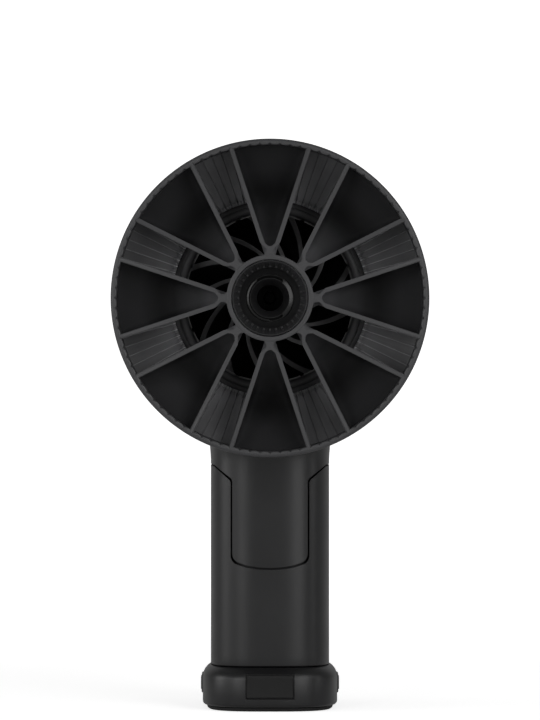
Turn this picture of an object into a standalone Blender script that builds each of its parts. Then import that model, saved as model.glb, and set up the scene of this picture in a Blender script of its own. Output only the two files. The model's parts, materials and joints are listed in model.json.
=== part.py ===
"""Cordless pistol-grip car dryer blower, modelled as the pieces it is assembled from.

Units are metres, +Z is up and the blower stands on its battery foot at z = 0.
Air enters at the round guard (facing -Y) and leaves through the nozzle (facing +Y).
Head pieces are drawn round the Y axis of the empty head_axis, with y = 0 at the front
plane of the guard.  Handle pieces are drawn from the empty grip_axis on the floor.
"""
import math

import bmesh
import bpy
from mathutils import Matrix, Vector

MM = 0.001

# --- clearances -----------------------------------------------------------------------
GAP = 0.3 * MM              # between seated pieces
RUNNING_GAP = 0.4 * MM      # between pieces that slide or turn past each other
SEAM_GAP = 0.45 * MM        # open seam between housing and grip shell

# --- overall layout -------------------------------------------------------------------
RIM_RADIUS = 57.5 * MM
BARREL_RADIUS = 37.0 * MM
HANDLE_Y = 68.0 * MM        # handle centre behind the guard plane
NOZZLE_FRONT = 174.0 * MM   # guard plane to nozzle tip
RING_SEGMENTS = 36

# --- intake guard ---------------------------------------------------------------------
RIM_WALL = 2.25 * MM
RIM_DEPTH = 8.0 * MM
RIB_WIDTH = 1.6 * MM
RIB_DEPTH = 7.0 * MM
RIB_RECESS = 0.15 * MM
RIB_ANGLE = math.radians(18.3)     # of each rib from the centre line of its pair
RIB_OFFSET = 3.65 * MM             # of each rib's line from the fan axis
PAIR_COUNT = 8
HUB_RADIUS = 15.7 * MM
HUB_WALL = 1.75 * MM
HUB_BORE = HUB_RADIUS - HUB_WALL
STEM_WIDTH = 2.3 * MM
STEM_RADIUS = HUB_RADIUS + 1.1 * MM        # where the stem is narrowest
POCKET_START = HUB_RADIUS + 2.7 * MM       # fan axis to the closed tip of each pocket

# --- scoops, bell and hub cup ---------------------------------------------------------
SCOOP_WALL = 1.2 * MM
SCOOP_DEPTH = 19.3 * MM
SCOOP_DEEPEST_RADIUS = BARREL_RADIUS - 1.0 * MM
SCOOP_RIM_DEPTH = 8.2 * MM
SCOOP_TIP_DEPTH = 8.4 * MM
SCOOP_EASE = 1.3                   # power of the floor's rise towards the rim
BELL_MOUTH_RADIUS = RIM_RADIUS - RIM_WALL - 0.05 * MM
BELL_THROAT_RADIUS = BARREL_RADIUS - 1.4 * MM
BELL_MOUTH_Y = 9.9 * MM
BELL_THROAT_Y = SCOOP_DEPTH + 4.7 * MM
BELL_WALL = 1.6 * MM
CUP_LENGTH = 17.0 * MM
CUP_TEETH = 32
CUP_TOOTH_DEPTH = 0.8 * MM
CUP_HOLE = 4.75 * MM
CUP_SEAT_Y = 10.6 * MM             # floor that the trim ring lies on
TRIM_RADIUS = 8.5 * MM
TRIM_HALF_WIDTH = 0.6 * MM

# --- barrel ---------------------------------------------------------------------------
BARREL_WALL = 2.0 * MM
BARREL_END = 118.0 * MM
SCREW_COUNT = 3
SCREW_Y = BARREL_END - 5.5 * MM
SCREW_RADIUS = 1.2 * MM
SCREW_HEAD_RADIUS = 2.2 * MM
SCREW_HEAD_DEPTH = 1.2 * MM

# --- fan ------------------------------------------------------------------------------
DUCT_RADIUS = BARREL_RADIUS - 6.0 * MM
DUCT_WALL = 2.0 * MM
DUCT_START = BELL_THROAT_Y + 2.6 * MM
LIP_RADIUS = 1.6 * MM
BLADE_COUNT = 13
BLADE_THICKNESS = 1.2 * MM
BLADE_START = DUCT_START + 6.9 * MM
BLADE_END = BLADE_START + 12.0 * MM
BLADE_SWEEP = math.radians(31.0)
BLADE_TWIST = math.radians(30.0)
BLADE_PHASE = math.radians(14.7)
FAN_HUB_RADIUS = 14.0 * MM         # at the front of the blades
FAN_HUB_GROWTH = 1.5 * MM          # along the blades
FAN_BOSS_RADIUS = 5.0 * MM
FAN_HUB_WALL = 1.7 * MM
NUT_RADIUS = 4.6 * MM
NUT_HEIGHT = 3.2 * MM

# --- motor ----------------------------------------------------------------------------
SHAFT_RADIUS = 2.0 * MM
BEARING_RADIUS = 6.5 * MM
BEARING_WIDTH = 5.0 * MM
BEARING_SLEEVE = 1.6 * MM
CAN_RADIUS = 18.0 * MM
CAN_WALL = 2.0 * MM
CAN_START = BLADE_END + 4.5 * MM
CAN_END = CAN_START + 40.0 * MM
DUCT_END = CAN_END + 2.0 * MM
VANE_COUNT = 8
VANE_THICKNESS = 1.6 * MM
VANE_START = CAN_START + 3.0 * MM
VANE_END = CAN_END - 8.0 * MM
MAGNET_RADIUS = BEARING_RADIUS + 0.4 * MM
MAGNET_START = CAN_START + 9.5 * MM
MAGNET_END = CAN_END - 9.0 * MM
CORE_THICKNESS = 3.4 * MM
CORE_START = CAN_START + 10.0 * MM
CORE_END = CAN_END - 10.0 * MM
CAP_THICKNESS = 2.2 * MM
CAP_LIP = 0.7 * MM                 # keeps the rear bearing in
CONE_LENGTH = 39.5 * MM
MOUNT_RING_PLACES = (DUCT_START + 13.4 * MM, DUCT_END - 8.0 * MM)
MOUNT_RING_WIDTH = 5.0 * MM

# --- nozzle ---------------------------------------------------------------------------
COLLAR_BORE = BARREL_RADIUS - 5.0 * MM
COLLAR_FLANGE = 2.7 * MM
COLLAR_PLUG = 10.0 * MM            # how far the collar reaches into the barrel
SPIGOT_RADIUS = BARREL_RADIUS - 2.7 * MM
SPIGOT_LENGTH = 11.3 * MM
SEAL_GROOVE_DEPTH = 1.1 * MM
SEAL_GROOVE_WIDTH = 2.4 * MM
SEAL_GROOVE_OFFSET = 4.0 * MM
OUTLET_RADIUS = BARREL_RADIUS - 13.4 * MM
NOZZLE_WALL = 1.8 * MM
TIP_WALL = 2.9 * MM
TIP_LENGTH = 13.4 * MM
TIP_LIP = 5.7 * MM                 # rubber beyond the nozzle's end

# --- handle section, set by four cells side by side -----------------------------------
CELL_RADIUS = 9.0 * MM
CELL_LENGTH = 64.5 * MM
CELL_SPACING = 2 * CELL_RADIUS + 0.24 * MM
CELL_SIDE_ROOM = 0.68 * MM         # between a cell and the case's side wall
CASE_WALL = 1.1 * MM
HANDLE_WALL = 1.8 * MM
HANDLE_HALF_X = CELL_SPACING / 2 + CELL_RADIUS + CELL_SIDE_ROOM + CASE_WALL + GAP + HANDLE_WALL
HANDLE_HALF_Y = HANDLE_HALF_X + 4.0 * MM
HANDLE_EXPONENT = 3.2
COLUMN_POINTS = 32

# --- handle details, measured down from the fan axis ----------------------------------
NECK_ROOF = BARREL_RADIUS + 1.5 * MM       # top of the handle cavity
TRIGGER_TOP = BARREL_RADIUS + 5.4 * MM
TRIGGER_BOTTOM = TRIGGER_TOP + 23.2 * MM
SWITCH_TOP = TRIGGER_TOP + 0.6 * MM
SWITCH_BOTTOM = TRIGGER_BOTTOM - 0.6 * MM
FLARE_START = BARREL_RADIUS + 23.0 * MM
FLARE_GROWTH_X = 3.0 * MM
FLARE_GROWTH_Y = 9.0 * MM
SEAM_DROP = FLARE_START + 1.5 * MM         # seam at the handle's sides
SHOULDER_DROP = SEAM_DROP + 5.3 * MM
TONGUE_DROP = SEAM_DROP + 37.8 * MM
TONGUE_BOW = 2.7 * MM                      # of the tongue's lower edge
TONGUE_HALF_X = HANDLE_HALF_X - 8.1 * MM
TONGUE_CORNER_RADIUS = 3.5 * MM
SHOULDER_INSET = 1.2 * MM                  # where the seam leaves the handle's side
SHOULDER_CORNER_RADII = (2.5 * MM, 2.0 * MM)
WIRE_HOLE_HALF = 3.6 * MM
WIRE_HOLE_X = 6.1 * MM
WIRE_HOLE_Y = -14.6 * MM

# --- trigger and switch ---------------------------------------------------------------
TRIGGER_WIDTH = 15.2 * MM
TRIGGER_REACH = HANDLE_HALF_Y + 9.0 * MM   # from the handle's centre
TRIGGER_TRAVEL = 6.0 * MM
TRIGGER_FLANGE = 3.0 * MM
TRIGGER_FLANGE_LIP = 1.5 * MM
SWITCH_HALF_X = 8.0 * MM
SWITCH_BACK = -13.0 * MM
SWITCH_FRONT = 9.5 * MM
PLUNGER_RADIUS = 1.5 * MM
PLUNGER_REACH = 6.5 * MM                   # into the switch
BOARD_THICKNESS = 1.6 * MM
CONTROL_BOARD_HALF_X = 15.0 * MM
CAPACITOR_RADIUS = 3.3 * MM
TERMINAL_THICKNESS = 1.9 * MM

# --- battery foot ---------------------------------------------------------------------
PAD_THICKNESS = 1.2 * MM
FOOT_TOP = 16.0 * MM
FOOT_HALF_X = HANDLE_HALF_X + 3.0 * MM
FOOT_HALF_Y = HANDLE_HALF_Y + 4.0 * MM
FOOT_WALL = 2.0 * MM
FOOT_FLOOR = 2.2 * MM
FOOT_RIB_OUTER = HANDLE_HALF_X - 7.4 * MM  # the latch springs push against these ribs
FOOT_RIB_THICKNESS = 1.6 * MM
LID_THICKNESS = 1.6 * MM
LATCH_HALF_Y = 7.0 * MM
LATCH_LOW = 5.5 * MM
LATCH_HIGH = 12.5 * MM
LATCH_FLANGE = 1.4 * MM
LATCH_SPREAD = 1.5 * MM
LATCH_PROUD = 0.4 * MM
PORT_RECESS = 1.8 * MM
PORT_COVER_HALF_X = 8.6 * MM
PORT_COVER_LOW = 4.9 * MM
PORT_COVER_HIGH = 13.4 * MM
PORT_COVER_THICKNESS = 1.2 * MM
PORT_HALF_X = 4.6 * MM
PORT_HEIGHT = 3.3 * MM
PORT_WALL = 0.6 * MM

# --- heights above the floor ----------------------------------------------------------
CASE_LOW = FOOT_TOP + GAP
CELL_LOW = CASE_LOW + CASE_WALL + GAP
CASE_HIGH = CELL_LOW + CELL_LENGTH + GAP
LID_LOW = CASE_HIGH + GAP
AXIS_HEIGHT = LID_LOW + LID_THICKNESS + RUNNING_GAP + TERMINAL_THICKNESS + GAP + SWITCH_BOTTOM

# name: colour, roughness, metallic
FINISHES = {
    "guard": ((0.063, 0.063, 0.065), 0.45, 0.0),
    "gloss_black": ((0.012, 0.012, 0.013), 0.2, 0.0),
    "matt_black": ((0.010, 0.010, 0.011), 0.6, 0.0),
    "bell": ((0.030, 0.030, 0.032), 0.4, 0.0),
    "shell": ((0.040, 0.040, 0.042), 0.5, 0.0),
    "soft_grip": ((0.036, 0.036, 0.038), 0.7, 0.0),
    "rubber": ((0.020, 0.020, 0.020), 0.85, 0.0),
    "nylon": ((0.025, 0.025, 0.027), 0.5, 0.0),
    "steel": ((0.55, 0.55, 0.56), 0.3, 1.0),
    "magnet": ((0.20, 0.20, 0.21), 0.4, 0.8),
    "copper": ((0.60, 0.27, 0.12), 0.35, 1.0),
    "board_green": ((0.02, 0.12, 0.05), 0.5, 0.0),
    "cell_wrap": ((0.05, 0.18, 0.40), 0.4, 0.0),
}


# --- building blocks ------------------------------------------------------------------
def clear_scene():
    for item in list(bpy.data.objects):
        bpy.data.objects.remove(item)


def material(finish):
    found = bpy.data.materials.get(finish)
    if found:
        return found
    colour, roughness, metallic = FINISHES[finish]
    made = bpy.data.materials.new(finish)
    made.use_nodes = True
    shader = made.node_tree.nodes["Principled BSDF"]
    shader.inputs["Base Color"].default_value = (*colour, 1.0)
    shader.inputs["Roughness"].default_value = roughness
    shader.inputs["Metallic"].default_value = metallic
    made.diffuse_color = (*colour, 1.0)
    return made


def empty(name, location):
    made = bpy.data.objects.new(name, None)
    made.location = location
    bpy.context.collection.objects.link(made)
    return made


def piece(name, bm, finish, parent, location=(0, 0, 0)):
    """Turn a bmesh into a named object with outward faces, one finish and smooth shading."""
    bmesh.ops.recalc_face_normals(bm, faces=bm.faces)
    mesh = bpy.data.meshes.new(name)
    bm.to_mesh(mesh)
    bm.free()
    mesh.shade_smooth()
    mesh.set_sharp_from_angle(angle=math.radians(35))
    made = bpy.data.objects.new(name, mesh)
    made.parent = parent
    made.location = location
    if finish:
        made.data.materials.append(material(finish))
    bpy.context.collection.objects.link(made)
    return made


def helper(name, bm, parent):
    """A cutter or a shape to be joined: it is not a piece of the blower."""
    made = piece(name, bm, None, parent)
    made.display_type = "WIRE"
    made.hide_render = True
    return made


def combine(target, others, operation):
    """Join shapes to a piece (UNION) or cut them from it (DIFFERENCE)."""
    for other in others:
        step = target.modifiers.new(other.name, "BOOLEAN")
        step.operation = operation
        step.solver = "EXACT"
        step.object = other


def arc(centre, radius, start, end, steps):
    """Points on an arc, from start to end degrees."""
    points = []
    for step in range(steps + 1):
        angle = math.radians(start + (end - start) * step / steps)
        points.append((centre[0] + radius * math.cos(angle), centre[1] + radius * math.sin(angle)))
    return points


def rounded(points, radii, steps=4):
    """An open run of points with its inner corners filleted."""
    path = [points[0]]
    for before, corner, after, radius in zip(points, points[1:], points[2:], radii):
        here = Vector(corner)
        to_before = (Vector(before) - here).normalized()
        to_after = (Vector(after) - here).normalized()
        half = to_before.angle(to_after) / 2
        centre = here + (to_before + to_after).normalized() * radius / math.sin(half)
        first = here + to_before * radius / math.tan(half) - centre
        sweep = math.pi - 2 * half
        if first.cross(here - centre) < 0:
            sweep = -sweep
        for step in range(steps + 1):
            turn = Matrix.Rotation(sweep * step / steps, 2)
            path.append(tuple(centre + turn @ first))
    path.append(points[-1])
    return path


def turned(outline, segments=RING_SEGMENTS, teeth_depth=None):
    """Turn a (radius, y) outline round Y.

    Ends on the axis become poles, and any other outline is closed into a ring.
    teeth_depth maps the index of an outline point to how far every second segment sinks.
    """
    bm = bmesh.new()
    rings = []
    for index, (radius, y) in enumerate(outline):
        if radius == 0:
            rings.append([bm.verts.new((0, y, 0))])
            continue
        ring = []
        for k in range(segments):
            angle = 2 * math.pi * k / segments
            sink = teeth_depth.get(index, 0) * (k % 2) if teeth_depth else 0
            reach = radius + sink
            ring.append(bm.verts.new((reach * math.cos(angle), y, reach * math.sin(angle))))
        rings.append(ring)
    pairs = list(zip(rings, rings[1:]))
    if len(rings[0]) > 1:
        pairs.append((rings[-1], rings[0]))
    for low, high in pairs:
        for k in range(segments):
            after = (k + 1) % segments
            corners = [low[k % len(low)], low[after % len(low)],
                       high[after % len(high)], high[k % len(high)]]
            distinct = list(dict.fromkeys(corners))
            if len(distinct) > 2:
                bm.faces.new(distinct)
    return bm


def ring_outline(inner, outer, start, end):
    return [(inner, start), (outer, start), (outer, end), (inner, end)]


def lofted(sections):
    """Join sections of equal point count, in order, and cap both ends."""
    bm = bmesh.new()
    rings = [[bm.verts.new(point) for point in section] for section in sections]
    count = len(rings[0])
    for low, high in zip(rings, rings[1:]):
        for k in range(count):
            after = (k + 1) % count
            bm.faces.new((low[k], low[after], high[after], high[k]))
    bm.faces.new(rings[0])
    bm.faces.new(rings[-1])
    return bm


def prism(outline, low, high, along):
    """Extrude a flat outline: (x, z) along Y, (y, z) along X or (x, y) along Z."""
    place = {
        "Y": lambda a, b, depth: (a, depth, b),
        "X": lambda a, b, depth: (depth, a, b),
        "Z": lambda a, b, depth: (a, b, depth),
    }[along]
    return lofted([[place(a, b, depth) for a, b in outline] for depth in (low, high)])


def block(x, y, z, bevel=0.0):
    """A box from three (low, high) pairs, with its edges eased."""
    size = Vector((x[1] - x[0], y[1] - y[0], z[1] - z[0]))
    centre = Vector((x[1] + x[0], y[1] + y[0], z[1] + z[0])) / 2
    bm = bmesh.new()
    bmesh.ops.create_cube(bm, size=1.0, matrix=Matrix.Translation(centre) @ Matrix.Diagonal(size).to_4x4())
    if bevel:
        bmesh.ops.bevel(bm, geom=bm.edges, offset=bevel, segments=1, affect="EDGES")
    return bm


def rod(radius, start, end, axis, segments=24):
    """A round bar between two points, its axis along the unit vector axis."""
    length = (Vector(end) - Vector(start)).length
    turn = Vector((0, 0, 1)).rotation_difference(Vector(axis)).to_matrix().to_4x4()
    middle = (Vector(start) + Vector(end)) / 2
    bm = bmesh.new()
    bmesh.ops.create_cone(bm, cap_ends=True, segments=segments, radius1=radius, radius2=radius,
                          depth=length, matrix=Matrix.Translation(middle) @ turn)
    return bm


def sheet(front, back):
    """A closed shell between two equal grids of points."""
    bm = bmesh.new()
    grids = [[[bm.verts.new(point) for point in row] for row in grid] for grid in (front, back)]
    rows, columns = len(front), len(front[0])
    for grid in grids:
        for i in range(rows - 1):
            for j in range(columns - 1):
                bm.faces.new((grid[i][j], grid[i][j + 1], grid[i + 1][j + 1], grid[i + 1][j]))
    border = [(0, j) for j in range(columns)]
    border += [(i, columns - 1) for i in range(1, rows)]
    border += [(rows - 1, j) for j in range(columns - 2, -1, -1)]
    border += [(i, 0) for i in range(rows - 2, 0, -1)]
    for (i, j), (p, q) in zip(border, border[1:] + border[:1]):
        bm.faces.new((grids[0][i][j], grids[0][p][q], grids[1][p][q], grids[1][i][j]))
    return bm


def coil(radius, wire, start, length, turns, axis, steps=8, sides=4):
    """A compression spring as one tube that winds along axis."""
    turn = Vector((0, 0, 1)).rotation_difference(Vector(axis)).to_matrix()
    rise = length - 2 * wire
    count = turns * steps
    sections = []
    for k in range(count + 1):
        angle = 2 * math.pi * k / steps
        outward = Vector((math.cos(angle), math.sin(angle), 0))
        centre = outward * radius + Vector((0, 0, wire + rise * k / count))
        section = []
        for side in range(sides):
            around = 2 * math.pi * side / sides
            offset = outward * math.cos(around) + Vector((0, 0, 1)) * math.sin(around)
            section.append(Vector(start) + turn @ (centre + offset * wire))
        sections.append(section)
    return lofted(sections)


def merge(shapes):
    """Put several separate shapes into one bmesh."""
    bm = bmesh.new()
    for shape in shapes:
        mesh = bpy.data.meshes.new("merge")
        shape.to_mesh(mesh)
        shape.free()
        bm.from_mesh(mesh)
        bpy.data.meshes.remove(mesh)
    return bm


def turned_about_y(bm, angle):
    """Turn a shape round the Y axis, from +X towards +Z."""
    bm.transform(Matrix.Rotation(-angle, 4, "Y"))
    return bm


# --- intake ---------------------------------------------------------------------------
def bell_y(radius):
    """Depth of the bell's air side at a radius."""
    share = (BELL_MOUTH_RADIUS - radius) / (BELL_MOUTH_RADIUS - BELL_THROAT_RADIUS)
    return BELL_MOUTH_Y + share * (BELL_THROAT_Y - BELL_MOUTH_Y)


def rib_point(distance, offset):
    """A point beside a rib's centre line, in the frame of its pair's centre line."""
    along = Vector((math.cos(RIB_ANGLE), math.sin(RIB_ANGLE)))
    across = Vector((-math.sin(RIB_ANGLE), math.cos(RIB_ANGLE)))
    return along * distance + across * (offset - RIB_OFFSET)


def rib_pair_outline():
    """Two ribs that meet in a rounded V and stand on a waisted stem."""
    half = RIB_WIDTH / 2
    reach = RIM_RADIUS - RIM_WALL / 2
    apex = (RIB_OFFSET + half) / math.sin(RIB_ANGLE)
    centre = (POCKET_START - apex * math.sin(RIB_ANGLE)) / (1 - math.sin(RIB_ANGLE))
    radius = centre - POCKET_START
    waist = STEM_WIDTH / 2
    side = [tuple(rib_point(reach, half)), tuple(rib_point(POCKET_START + RIB_WIDTH, half)),
            (STEM_RADIUS + waist, waist * 1.4), (STEM_RADIUS, waist),
            (HUB_RADIUS + waist / 2, waist * 1.4), (HUB_RADIUS - waist, waist * 2.6)]
    tip = arc((centre, 0), radius, 90 + math.degrees(RIB_ANGLE), 270 - math.degrees(RIB_ANGLE), 6)
    pocket = [tuple(rib_point(reach, -half))] + tip
    mirrored = [(s, -t) for s, t in reversed(side)]
    last = [(s, -t) for s, t in pocket[:1]]
    return side + mirrored + last + list(reversed(pocket[1:])) + pocket[:1]


def build_guard(head):
    inner = RIM_RADIUS - RIM_WALL
    ease = 0.5 * MM
    rim = [(inner, ease / 2), (inner + ease / 2, 0), (RIM_RADIUS - ease, 0), (RIM_RADIUS, ease),
           (RIM_RADIUS, RIM_DEPTH), (inner, RIM_DEPTH)]
    guard = piece("intake_guard", turned(rim), "guard", head)
    pairs = []
    for k in range(PAIR_COUNT):
        pair = prism(rib_pair_outline(), RIB_RECESS, RIB_DEPTH, "Y")
        pairs.append(turned_about_y(pair, 2 * math.pi * k / PAIR_COUNT))
    ribs = helper("guard_ribs", merge(pairs), head)
    hub = helper("guard_hub", turned(ring_outline(HUB_BORE, HUB_RADIUS, 0, RIB_DEPTH + RIB_RECESS)), head)
    combine(guard, (ribs, hub), "UNION")


def scoop_floor(radius):
    """Depth of a scoop's floor at a radius."""
    if radius >= SCOOP_DEEPEST_RADIUS:
        share = (radius - SCOOP_DEEPEST_RADIUS) / (BELL_MOUTH_RADIUS - SCOOP_DEEPEST_RADIUS)
        return SCOOP_DEPTH - (SCOOP_DEPTH - SCOOP_RIM_DEPTH) * share ** SCOOP_EASE
    share = min(1.0, (SCOOP_DEEPEST_RADIUS - radius) / (SCOOP_DEEPEST_RADIUS - POCKET_START))
    return SCOOP_TIP_DEPTH + (SCOOP_DEPTH - SCOOP_TIP_DEPTH) * math.sqrt(1 - share ** 2)


def scoop_shape():
    """One scoop: two walls under the ribs and a floor that dips between rim and hub."""
    top = RIB_DEPTH + GAP
    outer_radius = RIM_RADIUS - RIM_WALL - RUNNING_GAP
    inner_run = SCOOP_DEEPEST_RADIUS - POCKET_START
    outer_run = outer_radius - SCOOP_DEEPEST_RADIUS
    stops = [HUB_RADIUS + GAP / 2, POCKET_START]
    stops += [POCKET_START + inner_run * share for share in (0.1, 0.4, 0.7)]
    stops += [SCOOP_DEEPEST_RADIUS + outer_run * share for share in (0, 0.35, 0.7, 1)]

    def row(radius, offset, sink):
        half = RIB_ANGLE - math.asin((RIB_OFFSET + offset) / radius)
        floor = scoop_floor(radius) + sink
        spots = [(-half, top), (-half, floor), (0, floor), (half, floor), (half, top)]
        return [(radius * math.cos(a), y, radius * math.sin(a)) for a, y in spots]

    front = [row(radius, SCOOP_WALL / 2, 0) for radius in stops]
    back = [row(radius, -SCOOP_WALL / 2, SCOOP_WALL) for radius in stops]
    return sheet(front, back)


def build_baffle(head):
    """The sleeve behind the guard's hub, and the scoops that stand round it."""
    sleeve = ring_outline(HUB_BORE, HUB_RADIUS, RIB_DEPTH + RIB_RECESS + GAP, CUP_LENGTH)
    piece("baffle_sleeve", turned(sleeve), "gloss_black", head)
    for k in range(PAIR_COUNT):
        scoop = turned_about_y(scoop_shape(), 2 * math.pi * k / PAIR_COUNT)
        piece(f"intake_scoop_{k + 1}", scoop, "gloss_black", head)


def build_bell(head):
    edge = 0.5 * MM
    outline = [(BELL_MOUTH_RADIUS, bell_y(BELL_MOUTH_RADIUS)),
               (BELL_THROAT_RADIUS + edge, bell_y(BELL_THROAT_RADIUS + edge)),
               (BELL_THROAT_RADIUS, BELL_THROAT_Y),
               (BELL_THROAT_RADIUS, BELL_THROAT_Y + edge),
               (BELL_THROAT_RADIUS + edge, BELL_THROAT_Y + BELL_WALL - edge),
               (BELL_MOUTH_RADIUS, bell_y(BELL_MOUTH_RADIUS) + BELL_WALL)]
    piece("intake_bell", turned(outline), "bell", head)


def build_hub_cup(head):
    outer = HUB_BORE - GAP
    tooth = CUP_TOOTH_DEPTH
    seat = TRIM_RADIUS + GAP
    outline = [(outer, 0.3 * MM), (outer, CUP_LENGTH), (CUP_HOLE, CUP_LENGTH),
               (CUP_HOLE, CUP_LENGTH - 1.5 * MM), (TRIM_RADIUS - 1.4 * MM, CUP_SEAT_Y),
               (seat, CUP_SEAT_Y), (seat, CUP_SEAT_Y - 2.0 * MM),
               ((seat + outer) / 2 - tooth / 4, CUP_SEAT_Y - 4.4 * MM),
               (outer - tooth - 0.5 * MM, 1.2 * MM)]
    toothed = {len(outline) - 2: tooth, len(outline) - 1: tooth}
    piece("hub_cup", turned(outline, 2 * CUP_TEETH, toothed), "nylon", head)
    half = TRIM_HALF_WIDTH
    trim_end = CUP_SEAT_Y - GAP
    trim = arc((TRIM_RADIUS - half, trim_end - 1.1 * MM), half, 180, 360, 3)
    trim += [(TRIM_RADIUS, trim_end), (TRIM_RADIUS - 2 * half, trim_end)]
    piece("hub_trim_ring", turned(trim, 24), "gloss_black", head)


# --- barrel and nozzle ----------------------------------------------------------------
def saddle_section(drop, share):
    """A neck section that widens and bends up round the barrel as share goes from 0 to 1."""
    section = []
    for x, y, z in column_section(HANDLE_HALF_X + FLARE_GROWTH_X * share ** 1.2,
                                  HANDLE_HALF_Y + FLARE_GROWTH_Y * share ** 1.8, AXIS_HEIGHT - drop):
        bend = BARREL_RADIUS - math.sqrt(BARREL_RADIUS ** 2 - x ** 2)
        section.append((x, y, z + bend * share))
    return section


def column_section(half_x, half_y, z, points=COLUMN_POINTS):
    """A superellipse level section."""
    section = []
    for k in range(points):
        angle = 2 * math.pi * (k + 0.5) / points
        x = math.copysign(abs(math.cos(angle)) ** (2 / HANDLE_EXPONENT), math.cos(angle))
        y = math.copysign(abs(math.sin(angle)) ** (2 / HANDLE_EXPONENT), math.sin(angle))
        section.append((half_x * x, half_y * y, z))
    return section


def handle_column(low, high, wall=0.0):
    """The handle's outside, or its cavity when a wall is given."""
    return lofted([column_section(HANDLE_HALF_X - wall, HANDLE_HALF_Y - wall, z) for z in (low, high)])


def neck_column(low):
    """The grip's column with a saddle-shaped flare that runs up into the barrel."""
    sections = [column_section(HANDLE_HALF_X, HANDLE_HALF_Y, low)]
    steps = 6
    for k in range(steps + 1):
        share = k / steps
        drop = FLARE_START + (BARREL_RADIUS - FLARE_START) * share
        sections.append(saddle_section(drop, share))
    inside = saddle_section(BARREL_RADIUS - 5 * MM, 1.0)
    shrink = 1 - 1.2 * FLARE_GROWTH_Y / HANDLE_HALF_Y
    sections.append([(x, y * shrink, z) for x, y, z in inside])
    bm = lofted(sections)
    bmesh.ops.triangulate(bm, faces=bm.faces)
    return bm


def tongue_outline(grow, far):
    """The rear seam in the (x, z) plane: shoulders, then a tongue with a bowed end.

    grow widens the tongue, and far is how far the shoulders run past the handle's sides.
    """
    half = TONGUE_HALF_X + grow
    side_z = AXIS_HEIGHT - SEAM_DROP - grow
    shoulder_z = AXIS_HEIGHT - SHOULDER_DROP - grow
    bottom_z = AXIS_HEIGHT - TONGUE_DROP - grow
    right = rounded([(far, side_z), (HANDLE_HALF_X - SHOULDER_INSET, side_z), (half, shoulder_z),
                     (half, bottom_z + TONGUE_BOW), (half * 0.3, bottom_z)],
                    [*SHOULDER_CORNER_RADII, TONGUE_CORNER_RADIUS])
    left = [(-x, z) for x, z in reversed(right)]
    return right + left


def trigger_window(slack):
    half = TRIGGER_WIDTH / 2 + slack
    return block((-half, half), (HANDLE_HALF_Y - HANDLE_WALL - 4 * MM, HANDLE_HALF_Y + 20 * MM),
                 (AXIS_HEIGHT - TRIGGER_BOTTOM - slack, AXIS_HEIGHT - TRIGGER_TOP + slack))


def radial_rod(radius, start, end, y, angle, segments=12):
    """A round bar that points away from the fan axis at one place along it."""
    bm = rod(radius, (start, y, 0), (end, y, 0), (1, 0, 0), segments)
    return turned_about_y(bm, angle)


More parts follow.
